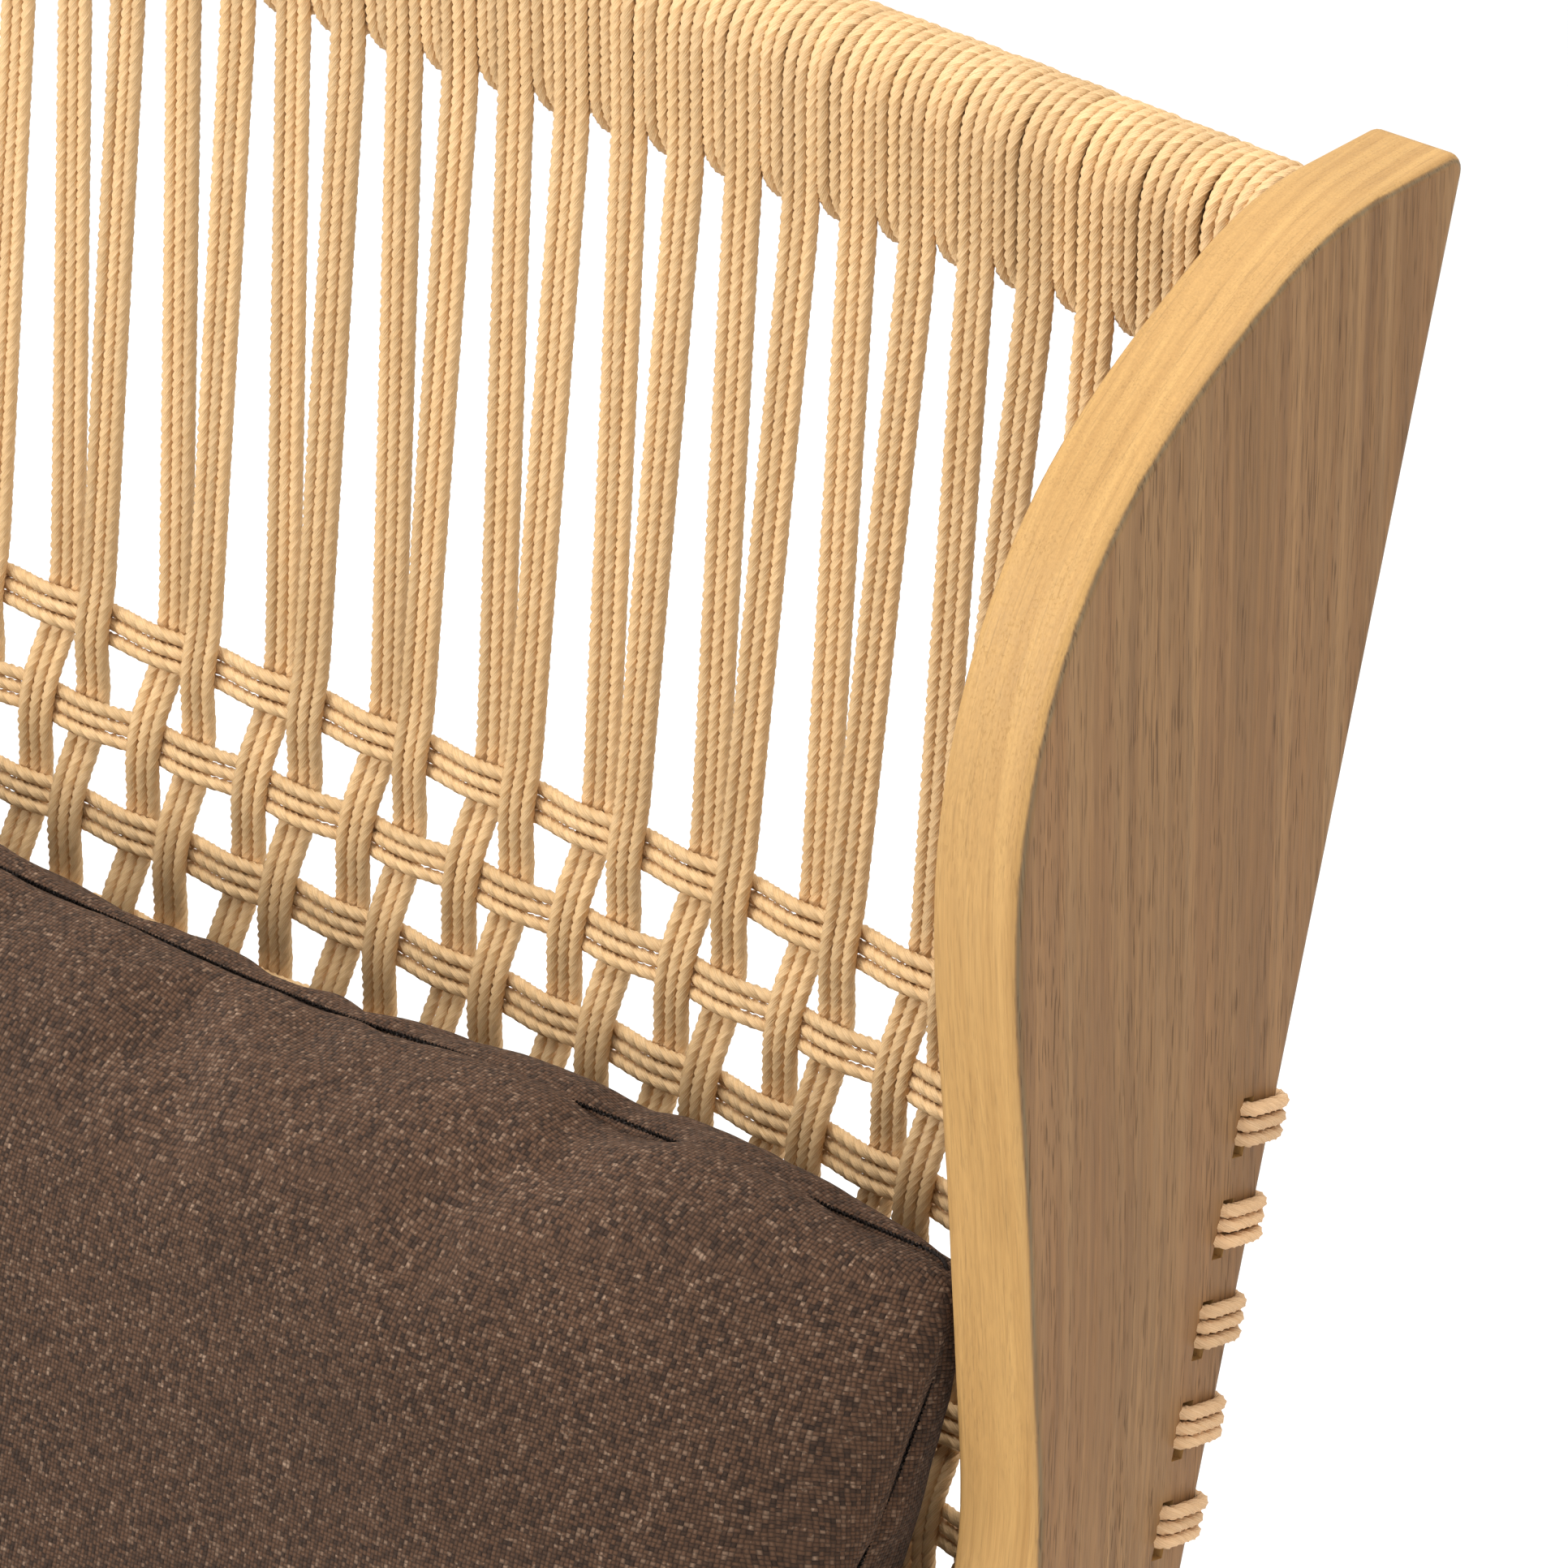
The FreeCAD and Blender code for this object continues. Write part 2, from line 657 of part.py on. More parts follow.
def bowed_outline(depth, sag):
    """Plan outline of a board of this depth, bowed back between the two side faces."""
    half = depth / 2
    rear = Part.Arc(Vector(-HALF_IN, half, 0), Vector(0, half + sag, 0), Vector(HALF_IN, half, 0))
    front = Part.Arc(Vector(HALF_IN, -half, 0), Vector(0, sag - half, 0), Vector(-HALF_IN, -half, 0))
    ends = [Part.LineSegment(Vector(HALF_IN, half, 0), Vector(HALF_IN, -half, 0)),
            Part.LineSegment(Vector(-HALF_IN, -half, 0), Vector(-HALF_IN, half, 0))]
    return [rear, ends[0], front, ends[1]]


def long_edge(edge):
    """Edges that run the length of a rail."""
    box_ = edge.BoundBox
    return box_.XMax - box_.XMin > HALF_IN


def rail_core(name, sag):
    """Curved rail core standing on its own lower face."""
    body, sketch = new_body(name, "XY_Plane", bowed_outline(size("rail_core_depth"), sag))
    blank = pad(body, sketch, "$rail_core_height")
    round_edges(body, blank, long_edge, "$rail_core_round")
    return body


BACK_TURN = Rotation(Vector(1, 0, 0), -size("recline"))
TOP_RAIL_PLACE = Placement(Vector(0, TOP_RAIL_MID_Y, TOP_RAIL_LOW), Rotation())
low_y, low_z = on_back(LOW_DISTANCE + LOW_RAIL_HALF, LOW_RAIL_AHEAD)
LOW_RAIL_PLACE = Placement(Vector(0, low_y, low_z), BACK_TURN)


# the wound cord hugs the core, with a hair of room
WRAP_GAP = 0.25


def ring_section(x, sag, width):
    """Band of cord wound round a rail core at x, as a flat ring of one cord's thickness."""
    depth = size("rail_core_depth") / 2 + WRAP_GAP
    high = size("rail_core_height") / 2 + WRAP_GAP
    radius = size("rail_core_round") + WRAP_GAP

    def rounded(grow):
        reach = radius + grow
        edges = []
        ends = []
        for quarter, (sy, sz) in enumerate(((1, 1), (-1, 1), (-1, -1), (1, -1))):
            centre = Vector(0, sy * (depth - radius), sz * (high - radius))
            arc = []
            for angle in (90 * quarter, 90 * quarter + 45, 90 * quarter + 90):
                a = math.radians(angle)
                arc.append(centre + Vector(0, reach * math.cos(a), reach * math.sin(a)))
            edges.append(Part.Arc(*arc).toShape())
            ends.append((arc[0], arc[2]))
        for index in range(4):
            edges.append(Part.makeLine(ends[index][1], ends[(index + 1) % 4][0]))
        return Part.Wire(Part.__sortEdges__(edges))

    face = Part.Face(rounded(CORD)).cut(Part.Face(rounded(0.0))).Faces[0]
    slant = -width * lean(x, sag)
    solid = face.extrude(Vector(width, slant, 0))
    solid.translate(Vector(x - width / 2, bow(x, sag) - slant / 2, high - WRAP_GAP))
    return solid


WARPS = int(size("warp_count"))
warp_first = -HALF_IN + size("warp_edge_gap") + STRAP / 2
warp_step = -2 * warp_first / (WARPS - 1)
warp_x = [warp_first + index * warp_step for index in range(WARPS)]


def wrap_between(sag, place):
    """Fill wraps between neighbouring warps, and between the last warp and the post."""
    solids = []
    width = warp_step - STRAP - size("wrap_play")
    for left, right in zip(warp_x, warp_x[1:]):
        solids.append(ring_section((left + right) / 2, sag, width))
    for solid in solids:
        solid.Placement = place.multiply(solid.Placement)
    return Part.Compound(solids)


# The fill wraps lie directly on the core; the warps cross over a bare stretch of it.
keep_node(plain("top_rail_wrap_cords", wrap_between(size("top_rail_sag"), TOP_RAIL_PLACE)),
          "top_rail_wrap_cords")
keep_node(plain("low_rail_wrap_cords", wrap_between(size("weave_sag"), LOW_RAIL_PLACE)),
          "low_rail_wrap_cords")

# ---------------------------------------------------------------- warps
WAVE = CORD + size("cord_clearance")


def offset_band(points, half):
    """Closed band of constant thickness about an open polyline of (y, z) points."""
    left = []
    right = []
    for index, point in enumerate(points):
        before = points[max(index - 1, 0)]
        after = points[min(index + 1, len(points) - 1)]
        ends = []
        for a, b in ((before, point), (point, after)):
            length = math.hypot(b[0] - a[0], b[1] - a[1])
            if length > 1e-9:
                ends.append(((b[0] - a[0]) / length, (b[1] - a[1]) / length))
        ty = sum(e[0] for e in ends)
        tz = sum(e[1] for e in ends)
        length = math.hypot(ty, tz)
        ny, nz = -tz / length, ty / length
        spread = half / abs(ny * -ends[0][1] + nz * ends[0][0])
        left.append((point[0] + ny * spread, point[1] + nz * spread))
        right.append((point[0] - ny * spread, point[1] - nz * spread))
    return left + right[::-1]


def around(centre_y, centre_z, depth, high, radius, turn, quarter):
    """Points round one corner of a rail, quarter 0..3 from top rear, with a recline turn."""
    sy, sz = ((1, 1), (-1, 1), (-1, -1), (1, -1))[quarter]
    points = []
    for part in range(4):
        angle = math.radians(90 * quarter + 30 * part)
        y = sy * (depth - radius) + radius * math.cos(angle)
        z = sz * (high - radius) + radius * math.sin(angle)
        points.append((centre_y + y * math.cos(turn) + z * math.sin(turn),
                       centre_z - y * math.sin(turn) + z * math.cos(turn)))
    return points


def warp_solid(index):
    """One three-cord strap: over the top rail, through the wefts and round the low rail."""
    x = warp_x[index]
    grow = CORD / 2 + size("cord_lift")
    depth = size("rail_core_depth") / 2 + grow
    high = size("rail_core_height") / 2 + grow
    radius = size("rail_core_round") + grow
    top_y = TOP_RAIL_MID_Y + bow(x, size("top_rail_sag"))
    top_z = TOP_RAIL_LOW + size("rail_core_height") / 2
    low_back = bow(x, size("weave_sag"))
    path = [(top_y + depth, TOP_RAIL_LOW + size("warp_start"))]
    path += around(top_y, top_z, depth, high, radius, 0.0, 0)
    path += around(top_y, top_z, depth, high, radius, 0.0, 1)
    path.append((top_y - depth, TOP_RAIL_LOW + size("warp_start")))
    for row in range(WEFTS):
        front = -1 if (row + index) % 2 else 1
        middle = size("first_weft_distance") + row * size("weft_pitch")
        for step in (-1, 1):
            ahead = size("slot_setback") - low_back + front * WAVE
            path.append(on_back(middle + step * (STRAP + size("cord_clearance")) / 2, ahead))
    cy, cz = on_back(LOW_DISTANCE, LOW_RAIL_AHEAD - low_back)
    path += around(cy, cz, depth, high, radius, RECLINE, 1)
    path += around(cy, cz, depth, high, radius, RECLINE, 2)
    path += around(cy, cz, depth, high, radius, RECLINE, 3)
    tail = size("warp_tail")
    path.append((cy + depth * math.cos(RECLINE) + tail * math.sin(RECLINE),
                 cz - depth * math.sin(RECLINE) + tail * math.cos(RECLINE)))
    outline = offset_band(path, CORD / 2)
    wire = Part.makePolygon([Vector(0, y, z) for y, z in outline + outline[:1]])
    # the strap lies square to the bowed wefts at its own place across the back
    slant = -STRAP * lean(x, size("weave_sag"))
    solid = Part.Face(wire).extrude(Vector(STRAP, slant, 0))
    solid.translate(Vector(x - STRAP / 2, -slant / 2, 0))
    return solid


warp_straps = plain("warp_straps", Part.Compound([warp_solid(index) for index in range(WARPS)]))


# ---------------------------------------------------------------- wefts and lashings
def back_solid(face, distance):
    """Strap drawn in plan (x across, y behind the rear edge) raised across the back's slope."""
    solid = face.extrude(Vector(0, 0, STRAP))
    solid.translate(Vector(0, 0, -STRAP / 2))
    y, z = on_back(distance, 0.0)
    solid.Placement = Placement(Vector(0, y, z), BACK_TURN).multiply(solid.Placement)
    return solid


def weft_face():
    """Plan of a weft: straight in the posts' slots and bowed back between them."""
    near = -size("slot_setback") - CORD / 2
    far = near + CORD
    sag = size("weave_sag")
    edges = [
        Part.makeLine(Vector(-HALF_OUT, near, 0), Vector(-HALF_IN, near, 0)),
        Part.Arc(Vector(-HALF_IN, near, 0), Vector(0, near + sag, 0), Vector(HALF_IN, near, 0)).toShape(),
        Part.makeLine(Vector(HALF_IN, near, 0), Vector(HALF_OUT, near, 0)),
        Part.makeLine(Vector(HALF_OUT, near, 0), Vector(HALF_OUT, far, 0)),
        Part.makeLine(Vector(HALF_OUT, far, 0), Vector(HALF_IN, far, 0)),
        Part.Arc(Vector(HALF_IN, far, 0), Vector(0, far + sag, 0), Vector(-HALF_IN, far, 0)).toShape(),
        Part.makeLine(Vector(-HALF_IN, far, 0), Vector(-HALF_OUT, far, 0)),
        Part.makeLine(Vector(-HALF_OUT, far, 0), Vector(-HALF_OUT, near, 0)),
    ]
    return Part.Face(Part.Wire(edges))


def lashing_face(sign):
    """Plan of a lashing: from the slot's outer mouth round the rear edge to the inner face."""
    mouth = -size("slot_setback") - CORD / 2 - size("lashing_play")
    stop = -size("slot_setback") + CORD / 2 + size("lashing_play")
    bevel = size("lashing_bevel")
    points = [
        (HALF_OUT, mouth),
        (HALF_OUT + CORD, mouth),
        (HALF_OUT + CORD, CORD - bevel),
        (HALF_OUT + CORD - bevel, CORD),
        (HALF_IN - CORD + bevel, CORD),
        (HALF_IN - CORD, CORD - bevel),
        (HALF_IN - CORD, stop),
        (HALF_IN, stop),
        (HALF_IN, 0.0),
        (HALF_OUT, 0.0),
    ]
    wire = Part.makePolygon([Vector(sign * x, y, 0) for x, y in points + points[:1]])
    return Part.Face(wire)


weft_rows = [size("first_weft_distance") + row * size("weft_pitch") for row in range(WEFTS)]
wefts = Part.Compound([back_solid(weft_face(), distance) for distance in weft_rows])
keep_node(plain("weft_cords", wefts), "weft_cords")
for side, sign in SIDES:
    lashings = Part.Compound([back_solid(lashing_face(sign), distance) for distance in weft_rows])
    keep_node(plain("lashing_cords_" + side, lashings), "lashing_cords_" + side)


# ---------------------------------------------------------------- tacks and rail cores
def tack(name, head, direction):
    """Flat-headed tack whose head lies on the cord."""
    foot = [h - size("tack_head_height") * d for h, d in zip(head, direction)]
    disc = rod(name + "_head", "$tack_head_diameter", "$tack_head_height", foot, direction)
    shank = rod(name + "_shank", "$tack_diameter", "$tack_length", head, direction)
    item = doc.addObject("Part::Fuse", name)
    item.Base = disc
    item.Tool = shank
    return item


tack_items = {"top": [], "low": []}
for index, x in enumerate(warp_x):
    depth = size("rail_core_depth") / 2 + CORD + size("cord_lift")
    y = TOP_RAIL_MID_Y + bow(x, size("top_rail_sag")) + depth
    head = (x, y, TOP_RAIL_LOW + size("tack_rise"))
    tack_items["top"].append(tack("top_tack_%d" % index, head, (0, -1, 0)))
    cy, cz = on_back(LOW_DISTANCE, LOW_RAIL_AHEAD - bow(x, size("weave_sag")))
    direction = (0, -math.cos(RECLINE), math.sin(RECLINE))
    head = (x, cy + depth * math.cos(RECLINE), cz - depth * math.sin(RECLINE))
    tack_items["low"].append(tack("low_tack_%d" % index, head, direction))
tack_nodes = [keep_node(group("cord_tacks_" + place, items), "cord_tacks_" + place)
              for place, items in tack_items.items()]

back_room = group("back_room", [dowels["left"], dowels["right"]] + tack_nodes)
top_core = rail_core("top_rail", size("top_rail_sag"))
top_core.Placement = TOP_RAIL_PLACE
keep_node(cut("top_back_rail", top_core, back_room), "top_back_rail")
low_core = rail_core("low_rail", size("weave_sag"))
low_core.Placement = LOW_RAIL_PLACE
keep_node(cut("low_back_rail", low_core, back_room), "low_back_rail")
keep_node(cut("warp_cords", warp_straps, group("tack_room", tack_nodes)), "warp_cords")


# ---------------------------------------------------------------- cushions
def cushion(name, width, depth, thickness, place):
    """Plain closed block with eased edges, standing in for a filled cushion."""
    blank = doc.addObject("Part::Box", name + "_blank")
    blank.Length, blank.Width, blank.Height = width, depth, thickness
    doc.recompute()
    item = doc.addObject("Part::Fillet", name)
    item.Base = blank
    radius = min(size("cushion_round"), thickness / 2 - 1.0)
    item.Edges = [(index, radius, radius) for index in range(1, len(blank.Shape.Edges) + 1)]
    item.Placement = place
    return keep_node(item, name)


CUSHION_WIDTH = 2 * (HALF_IN - size("cushion_side_gap"))
SEAT_LOW = size("slat_thickness") + size("soft_gap")
SEAT_HIGH = SEAT_LOW + size("seat_cushion_thickness")
SEAT_OVERHANG = 8.0
weave_front = size("slot_setback") + WAVE + CORD / 2 + size("soft_gap")
seat_depth = seat_to_weave(SEAT_LOW, weave_front) + SEAT_OVERHANG
seat_corner = Placement(Vector(-CUSHION_WIDTH / 2, -SEAT_OVERHANG, SEAT_LOW), Rotation())
cushion("seat_cushion", CUSHION_WIDTH, seat_depth, size("seat_cushion_thickness"),
        SEAT_PLACE.multiply(seat_corner))

# The back cushion leans on the weave and stands on the seat cushion on its lower rear edge.
thick = size("back_cushion_thickness")
stand = SEAT_HIGH + size("soft_gap")
rear_y, rear_z = on_seat(seat_to_weave(stand, weave_front), stand)
low_distance = (TOP - rear_z + weave_front * math.sin(RECLINE)) / math.cos(RECLINE)
crown_ahead = weave_front + thick / 2
top_distance = (TOP - size("back_cushion_top") + crown_ahead * math.sin(RECLINE)) / math.cos(RECLINE)
back_corner = Placement(Vector(-CUSHION_WIDTH / 2, -thick, 0), Rotation())
cushion("back_cushion", CUSHION_WIDTH, thick, low_distance - top_distance,
        Placement(Vector(0, rear_y, rear_z), BACK_TURN).multiply(back_corner))

# ---------------------------------------------------------------- recompute, check, centre and write
doc.recompute()
for item in doc.Objects:
    if "Invalid" in item.State or "Error" in item.State:
        raise RuntimeError("failed: %s %s" % (item.Name, item.State))
shapes = {}
for item in nodes:
    shape = item.Shape
    if shape.isNull() or not shape.isValid():
        raise RuntimeError("bad shape: " + item.Label)
    shapes[item.Label] = shape
outermost = [shapes[name] for name in shapes if name.startswith(("wing_post", "arm", "glide"))]
total = Part.Compound(outermost).optimalBoundingBox(True, False)
SHIFT = -(total.YMin + total.YMax) / 2
for label, shape in shapes.items():
    moved = shape.copy()
    moved.translate(Vector(0, SHIFT, 0))
    moved.exportStep("parts/%s.step" % label)
print("nodes", len(shapes), "size", round(total.XLength, 1), round(total.YLength, 1), round(total.ZLength, 1),
      "shift", round(SHIFT, 3))
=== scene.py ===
"""Lounge armchair with S-shaped wing posts, a woven cord back and loose cushions.

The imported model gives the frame.  This file dresses its wooden and metal parts, lays real
twisted cord where the model has flat straps, fills the cushions and sets the studio.
All lengths are in metres.
"""

import logging
import math
from dataclasses import dataclass, field
from enum import Enum

import bpy
import numpy as np
from mathutils import Matrix, Vector

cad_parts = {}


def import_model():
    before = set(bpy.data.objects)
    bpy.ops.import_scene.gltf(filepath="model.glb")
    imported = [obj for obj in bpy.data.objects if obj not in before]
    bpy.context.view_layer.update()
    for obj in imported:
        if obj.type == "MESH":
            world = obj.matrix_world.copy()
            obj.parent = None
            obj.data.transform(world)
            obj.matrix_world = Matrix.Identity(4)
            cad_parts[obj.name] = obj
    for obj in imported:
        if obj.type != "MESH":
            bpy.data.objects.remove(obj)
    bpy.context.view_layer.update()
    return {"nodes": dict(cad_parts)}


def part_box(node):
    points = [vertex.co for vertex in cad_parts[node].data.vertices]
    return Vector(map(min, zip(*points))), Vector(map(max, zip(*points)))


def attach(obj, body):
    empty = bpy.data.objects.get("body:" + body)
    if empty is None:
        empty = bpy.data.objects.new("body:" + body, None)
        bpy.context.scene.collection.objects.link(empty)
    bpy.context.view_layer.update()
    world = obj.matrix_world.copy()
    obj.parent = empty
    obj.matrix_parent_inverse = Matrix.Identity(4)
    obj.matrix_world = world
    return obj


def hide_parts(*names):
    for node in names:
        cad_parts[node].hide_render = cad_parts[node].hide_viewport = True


LOG = logging.getLogger("armchair")
MM = 0.001

Colour = tuple[float, float, float, float]
Triple = tuple[float, float, float]
CordPath = tuple[np.ndarray, np.ndarray, float, bool]
Material = bpy.types.Material
Object = bpy.types.Object
Socket = bpy.types.NodeSocket

SWELL_FRAMES = 20


def add_object(name: str, data: bpy.types.ID) -> Object:
    """Put new data into the scene as an object at the origin."""
    made = bpy.data.objects.new(name, data)
    bpy.context.scene.collection.objects.link(made)
    return made


# --- shader graph helper
class Graph:
    """A material's node tree with short ways to add and join nodes."""

    def __init__(self, name: str) -> None:
        """Make an empty material with a Principled shader.

        Args:
            name: Name of the new material.
        """
        self.material = bpy.data.materials.new(name)
        self.material.use_nodes = True
        self.tree = self.material.node_tree
        self.shader = self.tree.nodes["Principled BSDF"]

    def node(self, kind: str, **values: object) -> bpy.types.Node:
        """Add a node, its kind without the ShaderNode prefix, and set its properties."""
        made = self.tree.nodes.new("ShaderNode" + kind)
        for name, value in values.items():
            setattr(made, name, value)
        return made

    def join(self, source: object, target: Socket) -> None:
        """Link a socket to an input, or set the input to a plain value."""
        if isinstance(source, Socket):
            self.tree.links.new(source, target)
        else:
            target.default_value = source

    def math(self, operation: str, *inputs: object) -> Socket:
        """Result of a Math node."""
        made = self.node("Math", operation=operation)
        for index, value in enumerate(inputs):
            self.join(value, made.inputs[index])
        return made.outputs[0]

    def times(self, first: object, second: object) -> Socket:
        """Product of two values."""
        return self.math("MULTIPLY", first, second)

    def plus(self, first: object, second: object) -> Socket:
        """Sum of two values."""
        return self.math("ADD", first, second)

    def shade(self, colour: object, level: object) -> Socket:
        """Colour multiplied by one brightness."""
        grey = self.node("CombineColor")
        for socket in grey.inputs[:3]:
            self.join(level, socket)
        return self.mix(1.0, colour, grey.outputs[0], "MULTIPLY")

    def span(self, value: object, low: float, high: float, out_low: float = 0.0,
             out_high: float = 1.0, smooth: bool = False) -> Socket:
        """Map a range of a value to another range, clamped.

        Args:
            value: Socket to map.
            low: Start of the source range.
            high: End of the source range.
            out_low: Result at the start.
            out_high: Result at the end.
            smooth: Whether the passage is eased.
        """
        made = self.node("MapRange", interpolation_type="SMOOTHSTEP" if smooth else "LINEAR")
        for socket, number in zip(made.inputs[:5], (value, low, high, out_low, out_high)):
            self.join(number, socket)
        return made.outputs[0]

    def mix(self, factor: object, first: object, second: object, blend: str = "MIX") -> Socket:
        """Mix two colours."""
        made = self.node("Mix", data_type="RGBA", blend_type=blend)
        self.join(factor, made.inputs[0])
        self.join(first, made.inputs[6])
        self.join(second, made.inputs[7])
        return made.outputs[2]

    def noise(self, vector: object, scale: float, detail: float = 2.0, rough: float = 0.5,
              warp: float = 0.0) -> Socket:
        """Value of a noise texture with so many cells per metre, about 0.5 on average."""
        made = self.node("TexNoise")
        self.join(vector, made.inputs["Vector"])
        made.inputs["Scale"].default_value = scale
        made.inputs["Detail"].default_value = detail
        made.inputs["Roughness"].default_value = rough
        made.inputs["Distortion"].default_value = warp
        return made.outputs["Fac"]

    def stretch(self, vector: object, scale: Triple,
                turn: Triple = (0.0, 0.0, 0.0)) -> Socket:
        """Coordinates turned, in radians, and scaled along each axis."""
        made = self.node("Mapping", vector_type="POINT")
        self.join(vector, made.inputs["Vector"])
        made.inputs["Rotation"].default_value = turn
        made.inputs["Scale"].default_value = scale
        return made.outputs[0]

    def finish(self, colour: object, rough: object, height: object = None, strength: float = 0.3,
               distance: float = 0.0005) -> Material:
        """Join the results to the shader.

        Args:
            colour: Base colour.
            rough: Roughness.
            height: Height of the bump, if any.
            strength: Strength of the bump.
            distance: Depth of the bump in metres.
        """
        self.join(colour, self.shader.inputs["Base Color"])
        self.join(rough, self.shader.inputs["Roughness"])
        if height is not None:
            bump = self.node("Bump")
            bump.inputs["Strength"].default_value = strength
            bump.inputs["Distance"].default_value = distance
            self.join(height, bump.inputs["Height"])
            self.join(bump.outputs[0], self.shader.inputs["Normal"])
        return self.material


# --- finishes
class Grain(Enum):
    """Axis that the wood's grain follows."""

    ACROSS = 0
    ALONG = 1
    UPRIGHT = 2


@dataclass(frozen=True)
class WoodFinish:
    """Oiled, open-pored hardwood: brown flat-sawn faces and lighter, golden edges."""

    name: str
    grain: Grain
    edge_axis: int = 0
    face_dark: Colour = (0.220, 0.112, 0.043, 1.0)
    face_mid: Colour = (0.275, 0.147, 0.059, 1.0)
    face_light: Colour = (0.330, 0.185, 0.078, 1.0)
    face_red: Colour = (0.292, 0.133, 0.052, 1.0)
    edge_dark: Colour = (0.439, 0.246, 0.085, 1.0)
    edge_light: Colour = (0.551, 0.326, 0.118, 1.0)
    pore: Colour = (0.075, 0.040, 0.020, 1.0)
    edge_band_colour: Colour = (0.175, 0.140, 0.080, 1.0)

    def axes(self, across: float, along: float) -> Triple:
        """Scale of a pattern across and along the grain, as one factor for each axis."""
        factors = [across, across, across]
        factors[self.grain.value] = along
        return factors[0], factors[1], factors[2]

    def streaks(self, graph: Graph, source: Socket, across: float, along: float,
                detail: float, rough: float = 0.5) -> Socket:
        """Noise drawn out along the grain."""
        return graph.noise(graph.stretch(source, self.axes(across, along)), 1.0, detail, rough)

    def make(self) -> Material:
        """Build the wood material."""
        graph = Graph(self.name)
        place = graph.node("TexCoord").outputs["Object"]
        bend = self.streaks(graph, place, 3.0, 1.2, 2.0)
        shifted = graph.node("VectorMath", operation="MULTIPLY_ADD")
        graph.join(bend, shifted.inputs[0])
        shifted.inputs[1].default_value = (0.05, 0.05, 0.05)
        graph.join(place, shifted.inputs[2])
        grown = shifted.outputs[0]

        bands = self.streaks(graph, grown, 130.0, 1.3, 5.0, 0.70)
        fibres = self.streaks(graph, grown, 420.0, 7.0, 3.0, 0.6)
        fine = self.streaks(graph, grown, 1600.0, 40.0, 2.0, 0.6)
        red = self.streaks(graph, grown, 26.0, 1.6, 2.0, 0.5)
        pores = self.streaks(graph, grown, 1900.0, 80.0, 1.0, 0.4)
        clumps = self.streaks(graph, grown, 170.0, 2.4, 2.0, 0.6)

        face = graph.mix(graph.span(bands, 0.36, 0.52), self.face_dark, self.face_mid)
        face = graph.mix(graph.span(bands, 0.50, 0.66), face, self.face_light)
        face = graph.mix(graph.span(red, 0.52, 0.74, 0.0, 0.55), face, self.face_red)
        run = [6.0, 6.0, 6.0]
        run[self.edge_axis] = 260.0
        lines = graph.noise(graph.stretch(grown, tuple(run)), 1.0, 4.0, 0.65)
        hair = graph.noise(graph.stretch(place, tuple(7.0 * value for value in run)), 1.0, 2.0, 0.6)
        edge = graph.mix(graph.span(lines, 0.34, 0.66), self.edge_dark, self.edge_light)
        edge = graph.mix(graph.span(hair, 0.56, 0.72, 0.0, 0.22), edge, self.pore)

        normal = graph.node("SeparateXYZ")
        graph.join(graph.node("TexCoord").outputs["Normal"], normal.inputs[0])
        flat = graph.math("ABSOLUTE", normal.outputs[self.edge_axis])
        broad = graph.span(flat, 0.62, 0.86, smooth=True)
        colour = graph.mix(broad, edge, face)
        # Darker, greyer band along the rounded edges where the face turns to the edge, mottled by the
        # fibres.
        line = graph.times(graph.span(flat, 0.70, 0.88), graph.span(flat, 0.90, 0.985, 1.0, 0.0))
        edge_band_weight = graph.times(line, graph.span(fibres, 0.3, 0.6, 0.35, 0.75))
        colour = graph.mix(edge_band_weight, colour, self.edge_band_colour)

        shade = graph.plus(1.0, graph.times(graph.span(fibres, 0.25, 0.75, -0.20, 0.14),
                                                  graph.span(broad, 0.0, 1.0, 0.25, 1.0)))
        shade = graph.times(shade, graph.span(fine, 0.2, 0.8, 0.90, 1.08))
        colour = graph.shade(colour, shade)
        depth = graph.times(graph.span(pores, 0.57, 0.65), graph.span(clumps, 0.38, 0.60, 0.25, 1.0))
        weight = graph.times(depth, graph.span(broad, 0.0, 1.0, 0.12, 0.60))
        colour = graph.mix(weight, colour, self.pore)

        rough = graph.plus(graph.span(fibres, 0.2, 0.8, 0.43, 0.55), graph.times(depth, 0.2))
        height = graph.math("SUBTRACT", graph.times(fibres, 0.35), depth)
        graph.shader.inputs["Specular IOR Level"].default_value = 0.22
        return graph.finish(colour, rough, height, 0.35, 0.00025)


